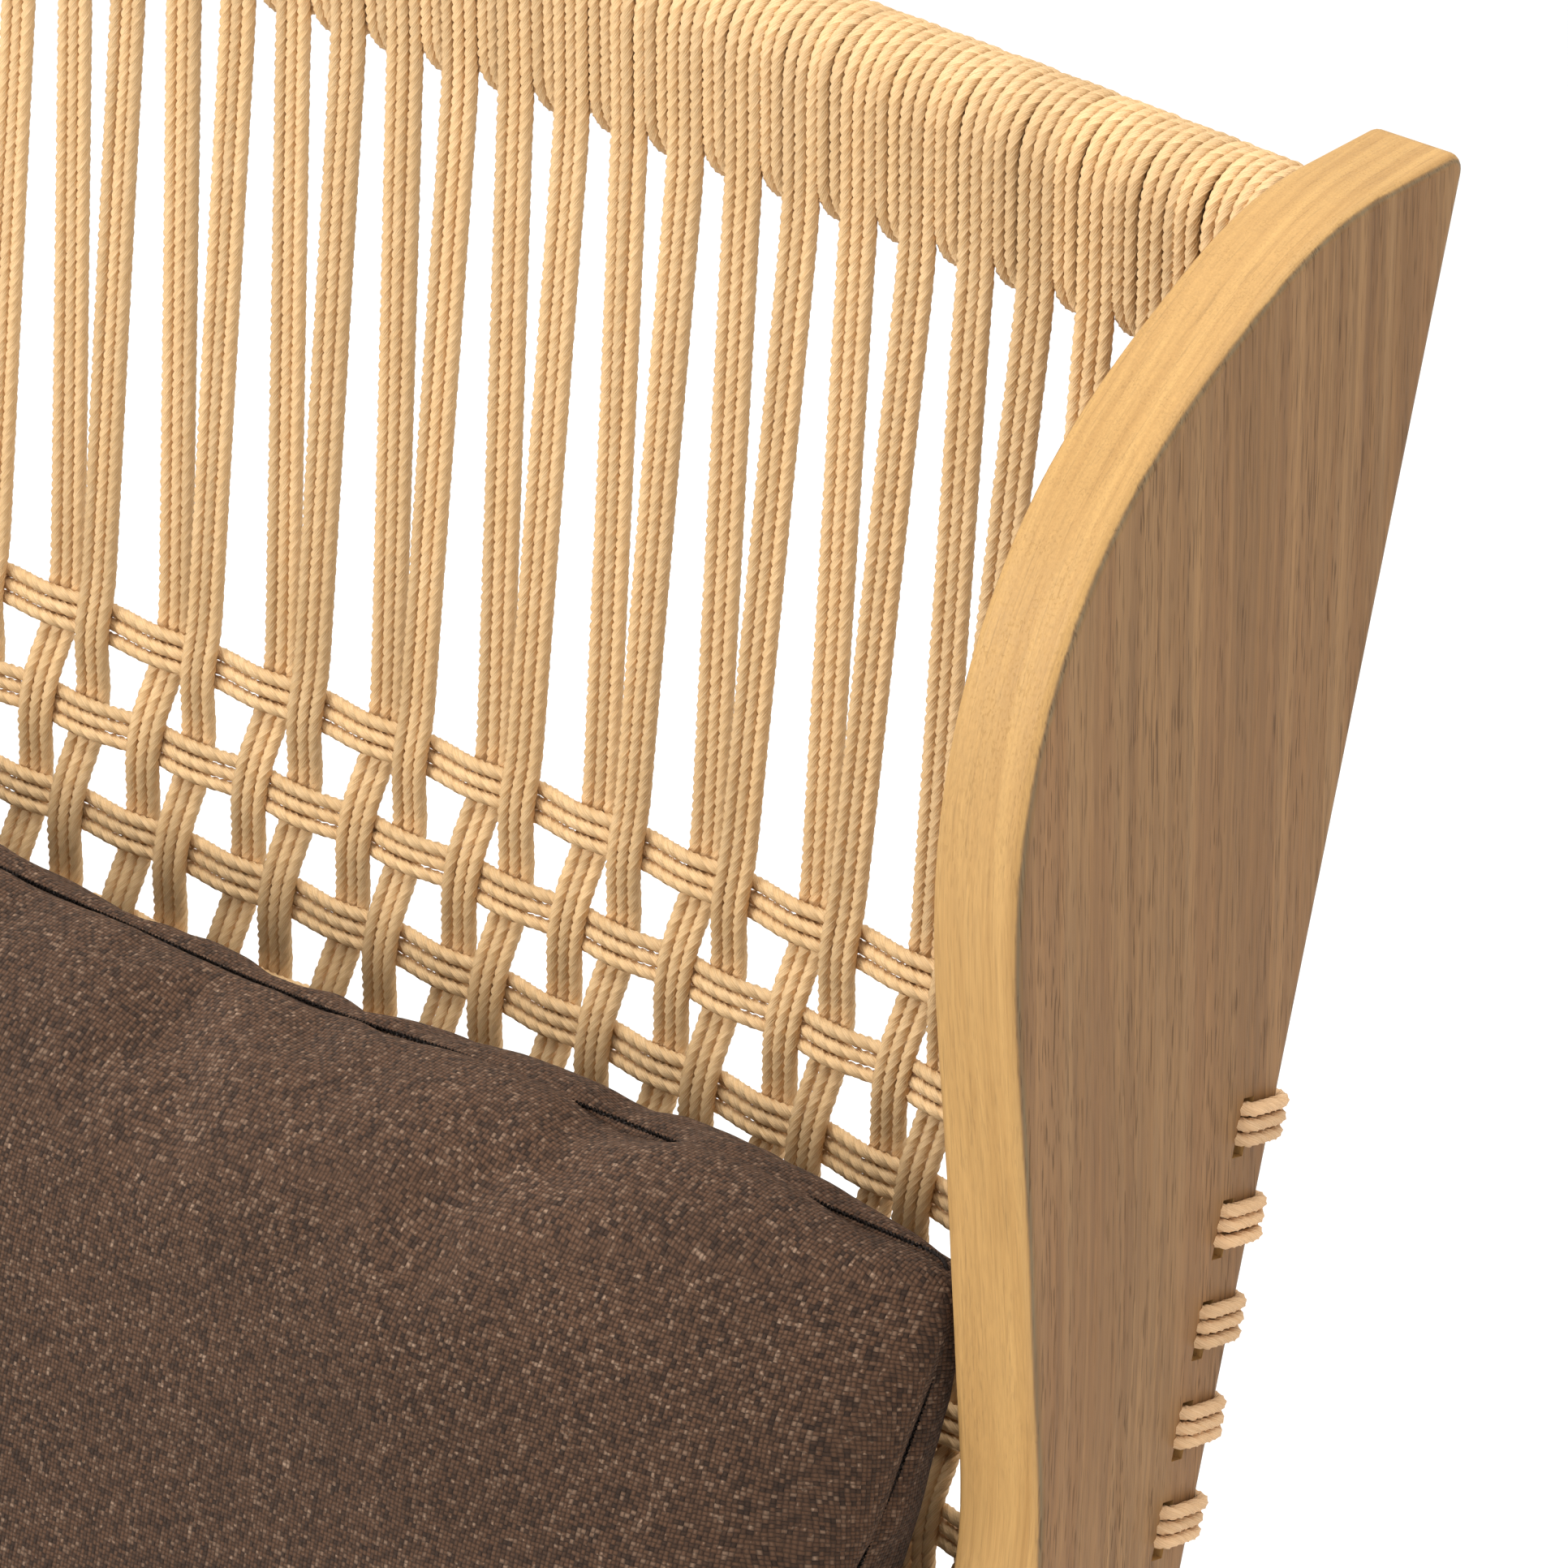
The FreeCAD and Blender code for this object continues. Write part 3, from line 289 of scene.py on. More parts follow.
@dataclass(frozen=True)
class CordFinish:
    """Twisted paper cord: smooth kraft paper plies, with painted shade in the grooves between them and
    in the fine lines between the yarns.
    """

    name: str
    light: Colour = (0.860, 0.605, 0.335, 1.0)
    dark: Colour = (0.698, 0.443, 0.203, 1.0)
    painted_groove_shade: Colour = (0.380, 0.210, 0.090, 1.0)

    def make(self) -> Material:
        """Build the material, which reads the cord's own map and tone."""
        graph = Graph(self.name)
        laid = graph.node("UVMap", uv_map="lay").outputs[0]
        parts = graph.node("SeparateXYZ")
        graph.join(laid, parts.inputs[0])
        tone = graph.node("Attribute", attribute_name="tone").outputs["Fac"]
        along, round_ = parts.outputs[0], parts.outputs[1]
        ply = graph.math("COSINE", graph.times(round_, 6.0 * math.pi))
        yarns = graph.math("SINE", graph.times(round_, 36.0 * math.pi))
        spread = graph.node("CombineXYZ")
        graph.join(graph.times(along, 160.0), spread.inputs[0])
        graph.join(graph.times(round_, 26.0), spread.inputs[1])
        graph.join(graph.times(tone, 40.0), spread.inputs[2])
        fibres = graph.noise(spread.outputs[0], 1.0, 3.0, 0.6)
        place = graph.node("TexCoord").outputs["Object"]
        patches = graph.noise(place, 38.0, 2.0, 0.5)
        wrinkles = graph.noise(place, 1500.0, 2.0, 0.55)

        colour = graph.mix(graph.span(fibres, 0.3, 0.7), self.dark, self.light)
        colour = graph.mix(graph.span(patches, 0.35, 0.7, 0.0, 0.35), colour, self.dark)
        # Painted shade: the grooves between the plies and the lows between the yarns are darkened
        # towards the groove shade colour.
        groove = graph.span(ply, -1.0, -0.35, 1.0, 0.0, smooth=True)
        yarn_gap_shade = graph.span(yarns, -1.0, -0.3, 0.26, 0.0)
        colour = graph.mix(graph.math("MAXIMUM", graph.times(groove, 0.12), yarn_gap_shade), colour, self.painted_groove_shade)
        level = graph.span(tone, 0.0, 1.0, 0.90, 1.08)
        colour = graph.shade(colour, level)
        height = graph.plus(graph.times(yarns, 0.35), graph.times(fibres, 1.2))
        height = graph.plus(height, graph.times(wrinkles, 0.8))
        graph.shader.inputs["Specular IOR Level"].default_value = 0.30
        return graph.finish(colour, graph.span(fibres, 0.2, 0.8, 0.55, 0.72), height, 0.55, 0.00012)


@dataclass(frozen=True)
class ClothFinish:
    """Heathered plain-weave wool cloth, woven from yarns of several browns."""

    name: str
    pitch: float = 1.25 * MM
    base: Colour = (0.094, 0.048, 0.027, 1.0)
    deep: Colour = (0.031, 0.017, 0.011, 1.0)
    fleck: Colour = (0.390, 0.263, 0.178, 1.0)

    def weave(self, graph: Graph, first: Socket,
              second: Socket) -> tuple[Socket, Socket]:
        """Plain weave on two coordinates.

        Args:
            graph: Material being built.
            first: Coordinate along the weft.
            second: Coordinate along the warp.

        Returns:
            Height of the cloth, and a random value for the yarn seen.
        """
        per = 1.0 / self.pitch
        u = graph.times(first, per)
        v = graph.times(second, per)
        wave_u = graph.math("ABSOLUTE", graph.math("SINE", graph.times(u, math.pi)))
        wave_v = graph.math("ABSOLUTE", graph.math("SINE", graph.times(v, math.pi)))
        parity = graph.math("MODULO", graph.plus(graph.math("FLOOR", u), graph.math("FLOOR", v)), 2.0)
        over = graph.math("ABSOLUTE", parity)
        weft = graph.times(wave_v, graph.span(wave_u, 0.0, 1.0, 0.55, 1.0))
        warp = graph.times(wave_u, graph.span(wave_v, 0.0, 1.0, 0.55, 1.0))
        height = graph.plus(graph.times(weft, over),
                            graph.times(warp, graph.math("SUBTRACT", 1.0, over)))
        cell = graph.node("CombineXYZ")
        graph.join(graph.math("FLOOR", u), cell.inputs[0])
        graph.join(graph.math("FLOOR", v), cell.inputs[1])
        graph.join(over, cell.inputs[2])
        chance = graph.node("TexWhiteNoise", noise_dimensions="3D")
        graph.join(cell.outputs[0], chance.inputs["Vector"])
        return height, chance.outputs["Value"]

    def make(self) -> Material:
        """Build the material; the weave is laid on the side that each face turns to."""
        graph = Graph(self.name)
        coordinates = graph.node("TexCoord")
        place = graph.node("VectorMath", operation="MULTIPLY_ADD")
        wobble = graph.node("TexNoise")
        graph.join(coordinates.outputs["Object"], wobble.inputs["Vector"])
        wobble.inputs["Scale"].default_value = 60.0
        graph.join(wobble.outputs["Color"], place.inputs[0])
        place.inputs[1].default_value = (0.0022, 0.0022, 0.0022)
        graph.join(coordinates.outputs["Object"], place.inputs[2])
        parts = graph.node("SeparateXYZ")
        graph.join(place.outputs[0], parts.inputs[0])
        normal = graph.node("SeparateXYZ")
        graph.join(coordinates.outputs["Normal"], normal.inputs[0])
        x, y, z = parts.outputs
        slant = graph.plus(graph.times(z, 0.964), graph.times(y, 0.266))
        front = self.weave(graph, x, slant)
        top = self.weave(graph, x, y)
        side = self.weave(graph, y, slant)
        up = graph.span(graph.math("ABSOLUTE", normal.outputs[2]), 0.66, 0.72)
        out = graph.span(graph.math("ABSOLUTE", normal.outputs[0]), 0.66, 0.72)
        layers = []
        for index in range(2):
            blended = graph.node("Mix", data_type="FLOAT")
            graph.join(up, blended.inputs[0])
            graph.join(front[index], blended.inputs[2])
            graph.join(top[index], blended.inputs[3])
            final = graph.node("Mix", data_type="FLOAT")
            graph.join(out, final.inputs[0])
            graph.join(blended.outputs[0], final.inputs[2])
            graph.join(side[index], final.inputs[3])
            layers.append(final.outputs[0])
        height, chance = layers

        fuzz = graph.noise(place.outputs[0], 2600.0, 2.0, 0.6)
        cloud = graph.noise(place.outputs[0], 16.0, 3.0, 0.55)
        mottle = graph.noise(place.outputs[0], 420.0, 2.0, 0.6)
        colour = graph.mix(graph.span(chance, 0.0, 0.55), self.deep, self.base)
        colour = graph.mix(graph.span(chance, 0.86, 1.0, 0.0, 0.30), colour, self.fleck)
        specks = graph.times(graph.span(mottle, 0.60, 0.72), graph.span(chance, 0.35, 0.6))
        colour = graph.mix(graph.times(specks, 0.55), colour, self.fleck)
        # Painted shade and highlight: the weave's low points are darkened and its high points lightened
        # by their height; the cloud noise adds random tone.
        shade = graph.times(graph.span(height, 0.15, 0.9, 0.45, 1.15),
                            graph.span(cloud, 0.3, 0.7, 0.88, 1.1))
        colour = graph.shade(colour, shade)
        relief = graph.plus(height, graph.times(fuzz, 0.6))
        graph.shader.inputs["Sheen Weight"].default_value = 0.12
        graph.shader.inputs["Sheen Roughness"].default_value = 0.55
        graph.shader.inputs["Sheen Tint"].default_value = (0.80, 0.62, 0.50, 1.0)
        graph.shader.inputs["Specular IOR Level"].default_value = 0.2
        return graph.finish(colour, 0.92, relief, 0.75, 0.00045)


@dataclass(frozen=True)
class SmallPartFinish:
    """Plain finish of screws, tacks and glides, with fine scuffs."""

    name: str
    colour: Colour
    metallic: float
    rough: float

    def make(self) -> Material:
        """Build the metal or plastic material."""
        graph = Graph(self.name)
        place = graph.node("TexCoord").outputs["Object"]
        scuffs = graph.noise(place, 900.0, 3.0, 0.6)
        dark = tuple(channel * 0.7 for channel in self.colour[:3]) + (1.0,)
        colour = graph.mix(graph.span(scuffs, 0.3, 0.7), dark, self.colour)
        graph.shader.inputs["Metallic"].default_value = self.metallic
        rough = graph.span(scuffs, 0.2, 0.8, self.rough - 0.08, self.rough + 0.12)
        return graph.finish(colour, rough, scuffs, 0.15, 0.0001)


# --- layout of the back
@dataclass
class BackLayout:
    """Where the parts of the back lie.

    The numbers repeat the part's own sizes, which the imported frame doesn't hold one by one.
    """

    recline: float = math.radians(15.44)
    cord: float = 4.0 * MM
    warp_count: int = 32
    warp_edge_gap: float = 4.4 * MM
    weft_count: int = 14
    first_weft: float = 256.0 * MM
    weft_pitch: float = 27.9 * MM
    slot_setback: float = 13.9 * MM
    top_sag: float = 13.0 * MM
    weave_sag: float = 24.0 * MM
    core_height: float = 50.0 * MM
    core_depth: float = 26.0 * MM
    low_rail: float = 672.0 * MM
    low_rail_ahead: float = 11.4 * MM
    rail_setback: float = 18.6 * MM
    rail_drop: float = 2.0 * MM
    half_in: float = field(init=False)
    half_out: float = field(init=False)
    top: float = field(init=False)
    rear: float = field(init=False)

    def __post_init__(self) -> None:
        """Take the inner width, height and rear corner from the right-hand post."""
        low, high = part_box("wing_post_right")
        self.half_in, self.half_out = low[0], high[0]
        self.top, self.rear = high[2], high[1]

    @property
    def up(self) -> np.ndarray:
        """Direction up the reclined back."""
        return np.array([0.0, math.sin(self.recline), math.cos(self.recline)])

    @property
    def strap(self) -> float:
        """Width of a group of three cords."""
        return 3 * self.cord

    @property
    def warp_x(self) -> np.ndarray:
        """Centre of each warp group across the back."""
        first = -self.half_in + self.warp_edge_gap + self.strap / 2
        return np.linspace(first, -first, self.warp_count)

    @property
    def weft_distances(self) -> np.ndarray:
        """Distance of each weft down the rear edge."""
        return self.first_weft + self.weft_pitch * np.arange(self.weft_count)

    def bow(self, x: np.ndarray, sag: float) -> np.ndarray:
        """How far a curved rail at x is set back from its ends."""
        radius = (self.half_in ** 2 + sag ** 2) / (2 * sag)
        return np.sqrt(radius ** 2 - np.asarray(x) ** 2) - (radius - sag)

    def lean(self, x: np.ndarray, sag: float) -> np.ndarray:
        """Angle in plan of a curved rail at x."""
        radius = (self.half_in ** 2 + sag ** 2) / (2 * sag)
        return np.arcsin(np.asarray(x) / radius)

    def on_back(self, x: np.ndarray, distance: np.ndarray, ahead: np.ndarray) -> np.ndarray:
        """Points at x, so far down the rear edge and so far ahead of it.

        Args:
            x: Places across the back.
            distance: Distances down the rear edge.
            ahead: Distances ahead of the rear edge, square to it.
        """
        x, distance, ahead = np.broadcast_arrays(x, distance, ahead)
        y = self.rear - distance * math.sin(self.recline) - ahead * math.cos(self.recline)
        z = self.top - distance * math.cos(self.recline) + ahead * math.sin(self.recline)
        return np.stack([x, y, z], axis=-1)


# --- cord
def resample(points: np.ndarray, step: float, soften: float, closed: bool = False) -> np.ndarray:
    """Even points along a path, with its corners rounded.

    Args:
        points: Points of the path.
        step: Distance between the new points.
        soften: Length over which corners are rounded.
        closed: Whether the path is a loop.
    """
    if closed:
        points = np.vstack([points, points[:1]])
    run = np.concatenate([[0.0], np.cumsum(np.linalg.norm(np.diff(points, axis=0), axis=1))])
    count = max(int(round(run[-1] / step)), 4)
    even = np.linspace(0.0, run[-1], count + 1)
    out = np.stack([np.interp(even, run, points[:, axis]) for axis in range(3)], axis=-1)
    reach = int(round(soften / step / 2))
    if closed:
        out = out[:-1]
    for _ in range(2 if reach else 0):
        if closed:
            padded = np.vstack([out[-reach:], out, out[:reach]])
        else:
            before = 2 * out[0] - out[1:reach + 1][::-1]
            after = 2 * out[-1] - out[-reach - 1:-1][::-1]
            padded = np.vstack([before, out, after])
        total = np.cumsum(np.vstack([np.zeros((1, 3)), padded]), axis=0)
        out = (total[2 * reach + 1:] - total[:-2 * reach - 1]) / (2 * reach + 1)
    return out


@dataclass
class CordMaker:
    """Lays three-ply twisted cord along paths and joins it into one mesh."""

    material: Material
    radius: float = 2.05 * MM
    valley: float = 1.94 * MM
    lay: float = 16.0 * MM
    step: float = 1.25 * MM
    sides: int = 6

    def build(self, name: str, paths: list[CordPath]) -> Object:
        """Make one object of many lengths of cord.

        Args:
            name: Name of the piece.
            paths: For each cord its points, a direction square to it, its tone and if it is closed.
        """
        points, tones, laid, quads, caps, tops = [], [], [], [], [], 0
        side = np.arange(self.sides)
        reach = np.where(side % 2 == 0, self.radius, self.valley)
        for path, across, tone, closed in paths:
            count = len(path)
            if closed:
                tangent = np.roll(path, -1, axis=0) - np.roll(path, 1, axis=0)
            else:
                tangent = np.gradient(path, axis=0)
            tangent /= np.linalg.norm(tangent, axis=1, keepdims=True)
            first = across - tangent * (tangent @ across)[:, None]
            first /= np.linalg.norm(first, axis=1, keepdims=True)
            second = np.cross(tangent, first)
            run = np.concatenate([[0.0], np.cumsum(np.linalg.norm(np.diff(path, axis=0), axis=1))])
            length = run[-1] + (np.linalg.norm(path[0] - path[-1]) if closed else 0.0)
            turns = length / self.lay
            if closed:
                turns = round(turns)
            angle = ((2 * math.pi * side / self.sides)[None, :]
                     + (run / length * turns * 2 * math.pi + tone * 9)[:, None])
            ring = path[:, None] + reach[None, :, None] * (
                np.cos(angle)[..., None] * first[:, None] + np.sin(angle)[..., None] * second[:, None])
            points.append(ring.reshape(-1, 3))
            tones.append(np.full(count * self.sides, tone))
            rows = count if closed else count - 1
            a = np.arange(rows)[:, None]
            b = (a + 1) % count
            nxt = (side + 1) % self.sides
            quad = np.stack([tops + a * self.sides + side, tops + a * self.sides + nxt,
                             tops + b * self.sides + nxt, tops + b * self.sides + side], axis=-1)
            quads.append(quad.reshape(-1, 4))
            u0 = np.broadcast_to(run[:rows, None], (rows, self.sides))
            u1 = u0 + length / max(rows, 1)
            v0 = np.broadcast_to(side / self.sides, (rows, self.sides))
            v1 = v0 + 1 / self.sides
            laid.append(np.stack([np.stack([u0, v0], -1), np.stack([u0, v1], -1),
                                  np.stack([u1, v1], -1), np.stack([u1, v0], -1)],
                                 axis=2).reshape(-1, 2))
            if not closed:
                caps.append(tops + side[::-1])
                caps.append(tops + (count - 1) * self.sides + side)
            tops += count * self.sides
        quads_, laid_ = np.vstack(quads), np.vstack(laid)
        loops = quads_.reshape(-1)
        starts = np.arange(len(quads_)) * 4
        totals = np.full(len(quads_), 4)
        if caps:
            ends = np.vstack(caps)
            starts = np.concatenate([starts, len(loops) + np.arange(len(ends)) * self.sides])
            totals = np.concatenate([totals, np.full(len(ends), self.sides)])
            loops = np.concatenate([loops, ends.reshape(-1)])
            laid_ = np.vstack([laid_, np.zeros((ends.size, 2))])
        mesh = bpy.data.meshes.new(name)
        mesh.vertices.add(tops)
        mesh.vertices.foreach_set("co", np.vstack(points).astype(np.float32).ravel())
        mesh.loops.add(len(loops))
        mesh.loops.foreach_set("vertex_index", loops.astype(np.int32))
        mesh.polygons.add(len(starts))
        mesh.polygons.foreach_set("loop_start", starts.astype(np.int32))
        mesh.polygons.foreach_set("loop_total", totals.astype(np.int32))
        mesh.update(calc_edges=True)
        mesh.uv_layers.new(name="lay").data.foreach_set("uv", laid_.astype(np.float32).ravel())
        tone_data = mesh.attributes.new("tone", "FLOAT", "POINT")
        tone_data.data.foreach_set("value", np.concatenate(tones).astype(np.float32))
        edges = np.empty(len(mesh.edges) * 2, dtype=np.int32)
        mesh.edges.foreach_get("vertices", edges)
        ends = edges.reshape(-1, 2) % self.sides
        sharp = (ends[:, 0] == ends[:, 1]) & (ends[:, 0] % 2 == 1)
        mesh.attributes.new("sharp_edge", "BOOLEAN", "EDGE").data.foreach_set("value", sharp)
        mesh.polygons.foreach_set("use_smooth", np.ones(len(mesh.polygons), dtype=bool))
        mesh.materials.append(self.material)
        mesh.validate()
        made = add_object(name, mesh)
        LOG.info("%s: %d cords, %d faces", name, len(paths), len(mesh.polygons))
        return made


@dataclass
class WovenBack:
    """Wraps, warps, wefts and lashings of the back, in real cord."""

    layout: BackLayout
    cord: CordMaker
    lashing_cord: CordMaker
    warp_wave: float = 2.5 * MM
    weft_wave: float = 1.7 * MM
    pair_pull: float = 2.8 * MM
    corner: float = 11 * MM
    warp_tail: float = 26 * MM
    rail_hold: float = 66 * MM
    gather: float = 0.12
    flat_share: float = 0.22
    turn_share: float = 0.28
    seed: int = 11
    chance: np.random.Generator = field(init=False)

    def __post_init__(self) -> None:
        """Start the fixed random sequence."""
        self.chance = np.random.default_rng(self.seed)

    def place(self, piece: Object, *nodes: str) -> None:
        """Ride on the frame in place of the model's straps."""
        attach(piece, "frame")
        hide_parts(*nodes)

    def rail_arc(self, centre: tuple[float, float], grow: float, turn: float,
                 quarters: range) -> np.ndarray:
        """Points (y, z) round the corners of a rail.

        Args:
            centre: Centre of the rail's section.
            grow: Distance of the path from the core.
            turn: Recline of the section.
            quarters: Corners in order, from the top rear one.
        """
        depth = self.layout.core_depth / 2 + grow
        high = self.layout.core_height / 2 + grow
        radius = self.corner + grow
        points = []
        for quarter in quarters:
            sy, sz = ((1, 1), (-1, 1), (-1, -1), (1, -1))[quarter % 4]
            for part in range(7):
                angle = math.radians(90 * quarter + part * 15)
                y = sy * (depth - radius) + radius * math.cos(angle)
                z = sz * (high - radius) + radius * math.sin(angle)
                points.append((centre[0] + y * math.cos(turn) + z * math.sin(turn),
                               centre[1] - y * math.sin(turn) + z * math.cos(turn)))
        return np.array(points)

    def top_centre(self, x: float) -> tuple[float, float]:
        """Centre (y, z) of the top rail's section at x."""
        lay = self.layout
        y = lay.rear - lay.rail_setback - lay.cord - lay.core_depth / 2 + float(lay.bow(x, lay.top_sag))
        return y, lay.top - lay.rail_drop - lay.cord - lay.core_height / 2

    def low_centre(self, x: float) -> tuple[float, float]:
        """Centre (y, z) of the low rail's section at x."""
        lay = self.layout
        point = lay.on_back(x, lay.low_rail, lay.low_rail_ahead - float(lay.bow(x, lay.weave_sag)))
        return float(point[1]), float(point[2])

    def wraps(self) -> None:
        """Two turns of cord round each rail between neighbouring warps, and one at each end."""
        lay = self.layout
        gaps = (lay.warp_x[1:] + lay.warp_x[:-1]) / 2
        ends = [lay.warp_x[0] - 2.02 * lay.cord, lay.warp_x[-1] + 2.02 * lay.cord]
        places = np.sort(np.concatenate([gaps - 0.51 * lay.cord, gaps + 0.51 * lay.cord, ends]))
        for name, centre_of, turn, sag in (
                ("top_rail_wrap_cords", self.top_centre, 0.0, lay.top_sag),
                ("low_rail_wrap_cords", self.low_centre, lay.recline, lay.weave_sag)):
            paths = []
            for x in places:
                grow = lay.cord / 2 + self.chance.uniform(0.0, 0.35) * MM
                flat = self.rail_arc((0.0, 0.0), grow, turn, range(4))
                y, z = centre_of(x)
                slope = float(lay.lean(x, sag))
                drift = self.chance.normal(0.0, 0.12) * MM
                ring = np.stack([x + drift + flat[:, 0] * math.sin(slope),
                                 y + flat[:, 0] * math.cos(slope), z + flat[:, 1]], axis=-1)
                across = np.array([math.cos(slope), -math.sin(slope), 0.0])
                ring = resample(ring, self.cord.step, 3 * MM, True)
                paths.append((ring, across, self.chance.random(), True))
            self.place(self.cord.build(name, paths), name)

    def warp_paths(self, index: int) -> list[CordPath]:
        """Paths of the three cords of one warp."""
        lay = self.layout
        x = float(lay.warp_x[index])
        low_back = float(lay.bow(x, lay.weave_sag))
        grow = lay.cord / 2 + 1.0 * MM
        top, low = self.top_centre(x), self.low_centre(x)
        over = self.rail_arc(top, grow, 0.0, range(0, 2))
        start = np.array([[over[0][0], top[1] - lay.core_height / 2 + 3 * MM]])
        leave = np.array([[over[-1][0], top[1] - lay.core_height / 2 + 5 * MM]])
        run = np.arange(lay.first_weft - 8 * MM, lay.weft_distances[-1] + 12 * MM, 1.5 * MM)
        phase = (run - lay.first_weft) / lay.weft_pitch
        row = np.clip(np.round(phase), 0, lay.weft_count - 1)
        side = np.where((row + index) % 2 == 0, 1.0, -1.0)
        off = np.abs(phase - row)
        rest = np.clip((off - self.flat_share) / self.turn_share, 0.0, 1.0)
        wave = side * self.warp_wave * np.where(
            off < self.flat_share, 1.0, 0.5 * (1 + np.cos(math.pi * rest)))
        woven = lay.on_back(0.0, run, lay.slot_setback - low_back + wave)[:, 1:]
        under = self.rail_arc(low, grow, lay.recline, range(1, 4))
        tail = np.array([[under[-1][0] + self.warp_tail * math.sin(lay.recline),
                          under[-1][1] + self.warp_tail * math.cos(lay.recline)]])
        profile = np.vstack([start, over, leave, woven, under, tail])
        flat = resample(np.column_stack([np.zeros(len(profile)), profile]), self.cord.step, 9 * MM)
        drop = (lay.top - flat[:, 2]) / math.cos(lay.recline)
        pull = np.clip((drop - self.rail_hold) / (lay.first_weft - self.rail_hold), 0.0, 1.0)
        ease = np.clip((drop - lay.first_weft) / self.gather, 0.0, 1.0)
        on_rail = np.arange(len(flat)) * self.cord.step < self.gather
        pull = np.where(on_rail, 0.0, pull * (1 - 0.55 * ease))
        lean = float(lay.lean(x, lay.top_sag))
        toward = -1.0 if index % 2 == 0 else 1.0
        sway = self.chance.normal(0.0, 0.25) * MM
        paths = []
        for place in (-1, 0, 1):
            shift = place * (lay.cord + 0.06 * MM)
            wander = self.chance.normal(0.0, 0.10, 3) * MM
            length = np.linspace(0.0, 1.0, len(flat))
            wobble = (wander[0] * np.sin(6.0 * length + place)
                      + wander[1] * np.sin(17.0 * length + 2.0 * place))
            path = flat.copy()
            path[:, 0] = x + shift * math.cos(lean) + pull * (toward * self.pair_pull + sway) + wobble
            path[:, 1] += -shift * math.sin(lean) + wander[2] * np.sin(9.0 * length)
            across = np.array([math.cos(lean), -math.sin(lean), 0.0])
            paths.append((path, across, self.chance.random(), False))
        return paths

    def warps(self, per_piece: int = 4) -> None:
        """All warps, a few to a piece so that no mesh grows too large."""
        for start in range(0, self.layout.warp_count, per_piece):
            paths = []
            for index in range(start, min(start + per_piece, self.layout.warp_count)):
                paths += self.warp_paths(index)
            name = "warp_cords_%d" % (start // per_piece + 1)
            self.place(self.cord.build(name, paths), "warp_cords")

    def wefts(self, per_piece: int = 5) -> None:
        """Rows of three cords through the warps, from slot to slot."""
        lay = self.layout
        warp_x = lay.warp_x
        for start in range(0, lay.weft_count, per_piece):
            paths = []
            for row in range(start, min(start + per_piece, lay.weft_count)):
                x = np.linspace(-lay.half_out + 2 * MM, lay.half_out - 2 * MM, 700)
                crossing = np.interp(x, warp_x, np.arange(lay.warp_count))
                sign = 1.0 if row % 2 == 0 else -1.0
                wave = -sign * np.cos(math.pi * crossing) * self.weft_wave
                fade = np.clip((lay.half_in - np.abs(x)) / (8 * MM), 0.0, 1.0)
                inside = np.clip(np.abs(x), 0, lay.half_in)
                back = lay.bow(inside, lay.weave_sag)
                slack = self.chance.normal(0.0, 0.35) * MM
                for place in (-1, 0, 1):
                    knots = np.concatenate([[-lay.half_in], warp_x, [lay.half_in]])
                    heights = self.chance.normal(0.0, 0.10, len(knots)) * MM
                    heights[0] = heights[-1] = 0.0
                    spread = np.interp(x, knots, heights)
                    droop = (-0.9 * MM * np.cos(math.pi * x / (2 * lay.half_in))
                             + slack * np.cos(math.pi * x / lay.half_in / 2))
                    lift = place * (lay.cord + 0.05 * MM * fade) + (spread + droop) * fade
                    points = lay.on_back(x, lay.weft_distances[row] - lift,
                                         lay.slot_setback - back + wave * fade)
                    paths.append((resample(points, self.cord.step, 5 * MM), lay.up,
                                  self.chance.random(), False))
            name = "weft_cords_%d" % (start // per_piece + 1)
            self.place(self.cord.build(name, paths), "weft_cords")

    def lashings(self) -> None:
        """Each weft's three cords come out of the slot and go round the post's rear edge."""
        lay = self.layout
        half = lay.cord / 2
        for side, sign in (("left", -1), ("right", 1)):
            paths = []
            for distance in lay.weft_distances:
                for place in (-1, 0, 1):
                    proud = half + self.chance.uniform(0.0, 0.5) * MM
                    mouth = lay.slot_setback + self.chance.uniform(-0.2, 0.4) * MM
                    plan = np.array([
                        (lay.half_out - 9 * MM, mouth),
                        (lay.half_out - 1 * MM, mouth),
                        (lay.half_out + proud, mouth - 1.2 * MM),
                        (lay.half_out + proud, mouth - 5 * MM),
                        (lay.half_out + proud, 1.5 * MM),
                        (lay.half_out + proud - 0.8 * MM, -proud + 0.8 * MM),
                        (lay.half_out - 3 * MM, -proud),
                        (lay.half_in + 3 * MM, -proud),
                        (lay.half_in - proud + 0.8 * MM, -proud + 0.8 * MM),
                        (lay.half_in - proud, 1.5 * MM),
                        (lay.half_in - proud, mouth - 4.6 * MM),
                    ])
                    lift = place * (lay.cord + 0.25 * MM)
                    run = np.linspace(0.0, 1.0, len(plan))
                    climb = lift + 1.0 * MM * np.sin(math.pi * run) + self.chance.normal(0.0, 0.15) * MM
                    climb = np.where(run < 0.15, place * lay.cord, climb)
                    points = lay.on_back(sign * plan[:, 0], distance - climb, plan[:, 1])
                    path = resample(points, self.lashing_cord.step, 3.5 * MM)
                    paths.append((path, lay.up, self.chance.random(), False))
            name = "lashing_cords_" + side
            self.place(self.lashing_cord.build(name, paths), name)

    def build(self) -> None:
        """Lay all the cord."""
        self.wraps()
        self.warps()
        self.wefts()
        self.lashings()


